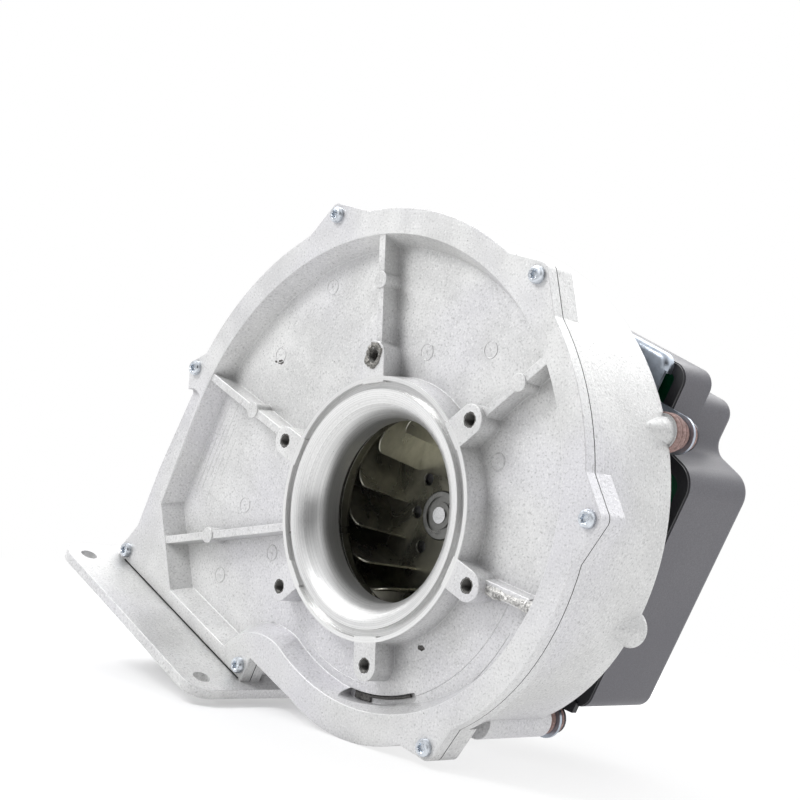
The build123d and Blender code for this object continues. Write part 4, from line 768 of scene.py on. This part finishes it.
def isolator_collars():
    """Rubber skirts of the upper isolators, which reach over the ends of the casing's lugs."""
    shape = bmesh.new()
    profile = bulges(COLLAR_RADIUS, COLLAR_BULGE, 0.7, COLLAR_START, COLLAR_HALF, COLLAR_ANGLES)
    for low, high in island_boxes("rubber_isolators"):
        middle = (low + high) / 2
        if middle.z + middle.x * math.tan(TILT) < 0.0:
            continue
        start = Vector((middle.x, low.y, middle.z))
        rings = [circle(start, radius, depth, RUBBER_SEGMENTS) for radius, depth in profile]
        skin(shape, rings, False, False)
    piece("isolator_collars", shape, RUBBER, smooth=50.0)


# Torn casting, in mm
GATE_BOSS = (BOSS_CIRCLE, 120.0)  # radius and angle
GATE_LEVELS = ((6.2, 2.4), (5.9, 0.6), (5.6, -0.5), (4.3, -0.7), (3.4, -0.2), (2.9, 1.2), (2.6, 4.5))
GATE_RAGGED = range(1, 5)  # levels whose depth varies
RIDGE_START, RIDGE_END = (77.0, 1.5), (104.5, 4.5)
RIDGE_DEPTH = 5.0
RIDGE_SECTION = ((-1.0, 1.2), (-0.9, -0.1), (-0.35, -0.8), (0.3, -0.7), (0.9, 0.0), (1.0, 1.2))


def gate_lump():
    """Broken-off gate on the boss above and left of the intake."""
    shape = bmesh.new()
    x, y = polar(*GATE_BOSS)
    rings = []
    for level, (half, depth) in enumerate(GATE_LEVELS):
        ring = []
        for a in round_angles(40):
            c, s = math.cos(a), math.sin(a)
            reach = half / max(abs(c), abs(s)) ** 0.40 + rng.uniform(-0.50, 0.50)
            drop = rng.uniform(-0.28, 0.28) if level in GATE_RAGGED else 0.0
            ring.append(spot(x + reach * c * 0.86, y + reach * s * 1.05, depth + drop))
        rings.append(ring)
    skin(shape, rings, False, True)
    piece("gate_residue", shape, TORN_GATE, smooth=12.0)


def gate_ridge():
    """Torn crest along the short rib right of the intake."""
    shape = bmesh.new()
    start, end = Vector(polar(*RIDGE_START)), Vector(polar(*RIDGE_END))
    ahead = (end - start).normalized()
    side = Vector((-ahead.y, ahead.x))
    rings = []
    for k in range(34):
        share = k / 33
        middle = start + (end - start) * share
        wide = 2.2 + 0.5 * math.sin(9 * share) + rng.uniform(-0.25, 0.25)
        ring = []
        for across, up in RIDGE_SECTION:
            where = middle + side * (across * wide)
            jitter = rng.uniform(-0.35, 0.35) * (up < 1)  # the foot stays level
            ring.append(spot(where.x, where.y, RIDGE_DEPTH + up + jitter))
        rings.append(ring)
    skin(shape, rings)
    piece("gate_ridge", shape, TORN_CREST, smooth=12.0)


# Impeller, in mm and degrees
BLADE_ARC = ((35.0, 22.0), (45.0, 0.0), (82.5, -50.0))  # root, eye and tip of the CAD blades
NOSE_PLACE, NOSE_DEPTH, NOSE_R = 43.8, 33.0, 3.6
INNER_EDGE = ((37.2, BACK_PLATE), (NOSE_PLACE - NOSE_R, NOSE_DEPTH))  # radius, depth
RING_EDGE = ((NOSE_PLACE, NOSE_DEPTH - NOSE_R), (46.0, 30.25), (48.5, 31.65), (83.0, 37.05))
BLADE_RADII = (
    37.25, 37.5, 37.8, 38.2, 38.6, 39.0, 39.4, 39.8, 40.2, 40.35, 40.6, 41.0, 41.5, 42.1, 42.9, 43.8,
    45.0, 46.0, 47.2, 48.5, 52.0, 56.0, 60.0, 64.0, 68.0, 72.0, 76.0, 79.5, 82.4,
)
HALF_SHEET = 0.5
FRONT_SECTION = (  # off the middle of the sheet, behind the front edge
    (-HALF_SHEET, 0.25), (-0.22, 0.03), (0.22, 0.03), (HALF_SHEET, 0.25),
)


def blade_front(radius):
    """Depth of a blade's front edge: inner edge, nose inside the eye, then under the front ring."""
    if NOSE_PLACE - NOSE_R <= radius <= NOSE_PLACE:
        return NOSE_DEPTH - math.sqrt(max(0.0, NOSE_R ** 2 - (NOSE_PLACE - radius) ** 2))
    line = INNER_EDGE if radius < NOSE_PLACE else RING_EDGE
    for (r0, d0), (r1, d1) in zip(line, line[1:]):
        if radius <= r1:
            return d0 + (d1 - d0) * (radius - r0) / (r1 - r0)
    return line[-1][1]


def circle_centre(a, b, c):
    """Centre of the circle through three flat points."""
    ab, ac = b - a, c - a
    return a + Vector((
        ac.y * ab.length_squared - ab.y * ac.length_squared,
        ab.x * ac.length_squared - ac.x * ab.length_squared)) / (2 * ab.cross(ac))


def blade_turns():
    """Centre and radius of the blade's arc, and the angle round it at each of the blade's radii."""
    root, eye, tip = (Vector(polar(*p)) for p in BLADE_ARC)
    centre = circle_centre(root, eye, tip)
    bend = (eye - centre).length
    away = math.atan2(centre.y, centre.x)
    eye_turn = math.atan2(eye.y - centre.y, eye.x - centre.x)
    turns = []
    for radius in BLADE_RADII:
        share = (radius ** 2 - centre.length_squared - bend ** 2) / (2 * centre.length * bend)
        swing = math.acos(max(-1.0, min(1.0, share)))
        either = (away + swing, away - swing)
        turns.append(min(either, key=lambda t: abs(math.remainder(t - eye_turn, FULL_TURN))))
    return centre, bend, turns


def blade_sheets():
    """Swept blades on the arc of the CAD blades, with a rounded nose inside the eye."""
    shape = bmesh.new()
    centre, bend, turns = blade_turns()
    for k in range(BLADES):
        spin = math.radians(BLADE_PHASE + 360.0 / BLADES * k)
        rings = []
        for radius, turn in zip(BLADE_RADII, turns):
            front = blade_front(radius)
            section = [(off, min(front + behind, BACK_PLATE)) for off, behind in FRONT_SECTION]
            section += [(HALF_SHEET, BACK_PLATE), (-HALF_SHEET, BACK_PLATE)]
            ring = []
            for off, depth in section:
                flat = centre + Vector((math.cos(turn), math.sin(turn))) * (bend + off)
                a = math.atan2(flat.y, flat.x) + spin
                ring.append(spot(flat.length * math.cos(a), flat.length * math.sin(a), depth))
            rings.append(ring)
        skin(shape, rings)
    piece("impeller_blades_detail", shape, SHEET, "rotor", ("impeller_blades",), 30.0)


for screw in SCREWS:
    pan_screws(*screw)
boss_threads()
boss_mouths()
casting_marks()
niche_shade_and_pits()
flange_gap_shade()
rubber_rings()
isolator_collars()
ejector_marks()
gate_lump()
gate_ridge()
blade_sheets()


# Camera of the photograph
CAMERA_RIGHT = Vector((0.69104, 0.70975, 0.13683))
CAMERA_UP = Vector((-0.06258, -0.12984, 0.98956))
CAMERA_AHEAD = Vector((-0.72011, 0.69238, 0.04531))
CAMERA_PLACE = Vector((0.48082, -0.45211, 0.02088))
FOCAL_LENGTH, SENSOR = 64.79, 36.0  # mm

# Floor and backdrop, in metres
FLOOR_NEAR, FLOOR_FAR = -3.0, 2.2
FLOOR_HALF = 5.0
BEND_R, BEND_STEPS = 1.2, 12
BACKDROP_TOP = 4.0
PAPER = (0.92, 0.92, 0.925)
FLOOR_GLOW = 0.20  # share of plain white that the camera sees in the floor left of the object
FLOOR_GLOW_RIGHT = 0.76  # the same right of it, where the photograph shows almost no shadow
GLOW_CHANGE = (-0.09, 0.03)  # where along X the glow goes from left to right
GLOW_FAR = (0.24, 0.70)  # distance from the object at which the floor turns plain white
FLOOR_BOUNCE = 0.66  # share of plain white in the light that the object gets from the floor

# Studio
LAMPS = (  # name, place, aim, size, power
    ("key", (-0.62, -0.80, 0.95), (0.0, 0.0, 0.0), 0.45, 10.0),
    ("floor_wash", (-0.6, 1.9, 1.9), (-0.6, 0.9, -0.1), 2.5, 45.0),
)
STUDIO_TONE = (0.985, 0.99, 1.0, 1.0)
STUDIO_BASE = 0.32
STUDIO_LOBES = (  # direction, cosines where it starts and is full, brightness added
    ((0.0, 0.05, 1.0), 0.15, 0.85, 0.60),
    ((-0.60, -0.74, 0.30), 0.30, 0.95, 0.42),
    ((0.80, -0.60, -0.02), 0.35, 0.90, -0.40),
    ((0.60, 0.75, 0.15), 0.20, 0.90, 0.74),
)
SKY_SEEN = 1.0  # what the camera sees behind the object


def paper():
    """White paper that takes shadows; a glow that the camera sees keeps them soft."""
    s = Shader("floor_paper")
    s.finish(PAPER, 0.9, 0.0, Specular_IOR_Level=0.1)
    x, y, _ = s.axes()
    near = s.ramp(x, *GLOW_CHANGE, FLOOR_GLOW, FLOOR_GLOW_RIGHT)
    shown = s.math("MAXIMUM", near, s.ramp(s.length(x, y), *GLOW_FAR))
    glow = s.node("ShaderNodeEmission")
    glow.inputs["Color"].default_value = (1.0, 1.0, 1.0, 1.0)
    seen = s.node("ShaderNodeLightPath").outputs["Is Camera Ray"]
    blend = s.node("ShaderNodeMixShader")
    s.link(s.mix_value(seen, FLOOR_BOUNCE, shown), blend.inputs["Fac"])
    s.link(s.bsdf.outputs[0], blend.inputs[1])
    s.link(glow.outputs[0], blend.inputs[2])
    s.link(blend.outputs[0], s.tree.nodes["Material Output"].inputs["Surface"])
    return s.material


def floor_and_backdrop():
    """Pale floor that bends up into a backdrop, so no horizon shows."""
    low = box_before[0].z
    profile = [(FLOOR_NEAR, low), (FLOOR_FAR, low)]
    for k in range(1, BEND_STEPS + 1):
        a = math.radians(90.0 / BEND_STEPS * k)
        profile.append((FLOOR_FAR + BEND_R * math.sin(a), low + BEND_R - BEND_R * math.cos(a)))
    profile.append((FLOOR_FAR + BEND_R, BACKDROP_TOP))
    ahead = Vector((CAMERA_AHEAD.x, CAMERA_AHEAD.y, 0.0)).normalized()
    side = Vector((ahead.y, -ahead.x, 0.0))
    verts = []
    for along, height in profile:
        for across in (-FLOOR_HALF, FLOOR_HALF):
            p = ahead * along + side * across
            verts.append((p.x, p.y, height))
    faces = [(2 * k, 2 * k + 1, 2 * k + 3, 2 * k + 2) for k in range(len(profile) - 1)]
    mesh = bpy.data.meshes.new("floor")
    mesh.from_pydata(verts, [], faces)
    mesh.shade_smooth()
    mesh.materials.append(paper())
    floor = bpy.data.objects.new("floor", mesh)
    bpy.context.scene.collection.objects.link(floor)


def area_light(name, place, aim, size, power):
    lamp = bpy.data.lights.new(name, "AREA")
    lamp.size = size
    lamp.energy = power
    made = bpy.data.objects.new(name, lamp)
    made.location = place
    made.rotation_mode = "QUATERNION"
    made.rotation_quaternion = (Vector(aim) - Vector(place)).to_track_quat("-Z", "Y")
    bpy.context.scene.collection.objects.link(made)


def lobe(tree, direction, low, high):
    """Smooth patch of the studio round a direction, 0 outside and 1 at its middle."""
    ray = tree.nodes.new("ShaderNodeTexCoord")
    unit = tree.nodes.new("ShaderNodeVectorMath")
    unit.operation = "NORMALIZE"
    tree.links.new(ray.outputs["Generated"], unit.inputs[0])
    dot = tree.nodes.new("ShaderNodeVectorMath")
    dot.operation = "DOT_PRODUCT"
    tree.links.new(unit.outputs[0], dot.inputs[0])
    dot.inputs[1].default_value = Vector(direction).normalized()
    soft = tree.nodes.new("ShaderNodeMapRange")
    soft.interpolation_type = "SMOOTHSTEP"
    tree.links.new(dot.outputs["Value"], soft.inputs["Value"])
    soft.inputs["From Min"].default_value = low
    soft.inputs["From Max"].default_value = high
    return soft.outputs["Result"]


def studio():
    """World of soft patches round the object, plain white where the camera sees it."""
    world = bpy.data.worlds.new("studio")
    bpy.context.scene.world = world
    world.use_nodes = True
    tree = world.node_tree
    total = None
    for direction, low, high, amount in STUDIO_LOBES:
        add = tree.nodes.new("ShaderNodeMath")
        add.operation = "MULTIPLY_ADD"
        tree.links.new(lobe(tree, direction, low, high), add.inputs[0])
        add.inputs[1].default_value = amount
        if total is None:
            add.inputs[2].default_value = STUDIO_BASE
        else:
            tree.links.new(total, add.inputs[2])
        total = add.outputs[0]
    seen = tree.nodes.new("ShaderNodeMix")
    seen.data_type = "FLOAT"
    camera_ray = tree.nodes.new("ShaderNodeLightPath").outputs["Is Camera Ray"]
    tree.links.new(camera_ray, seen.inputs["Factor"])
    tree.links.new(total, seen.inputs["A"])
    seen.inputs["B"].default_value = SKY_SEEN
    tree.links.new(seen.outputs["Result"], tree.nodes["Background"].inputs["Strength"])
    tree.nodes["Background"].inputs["Color"].default_value = STUDIO_TONE


def camera():
    lens = bpy.data.cameras.new("camera")
    lens.lens = FOCAL_LENGTH
    lens.sensor_width = SENSOR
    made = bpy.data.objects.new("camera", lens)
    turn = Matrix((CAMERA_RIGHT, CAMERA_UP, -CAMERA_AHEAD)).transposed().to_4x4()
    turn.translation = CAMERA_PLACE
    made.matrix_world = turn
    bpy.context.scene.collection.objects.link(made)
    bpy.context.scene.camera = made


floor_and_backdrop()
for lamp_row in LAMPS:
    area_light(*lamp_row)
studio()
camera()
bpy.context.scene.view_settings.view_transform = "Standard"
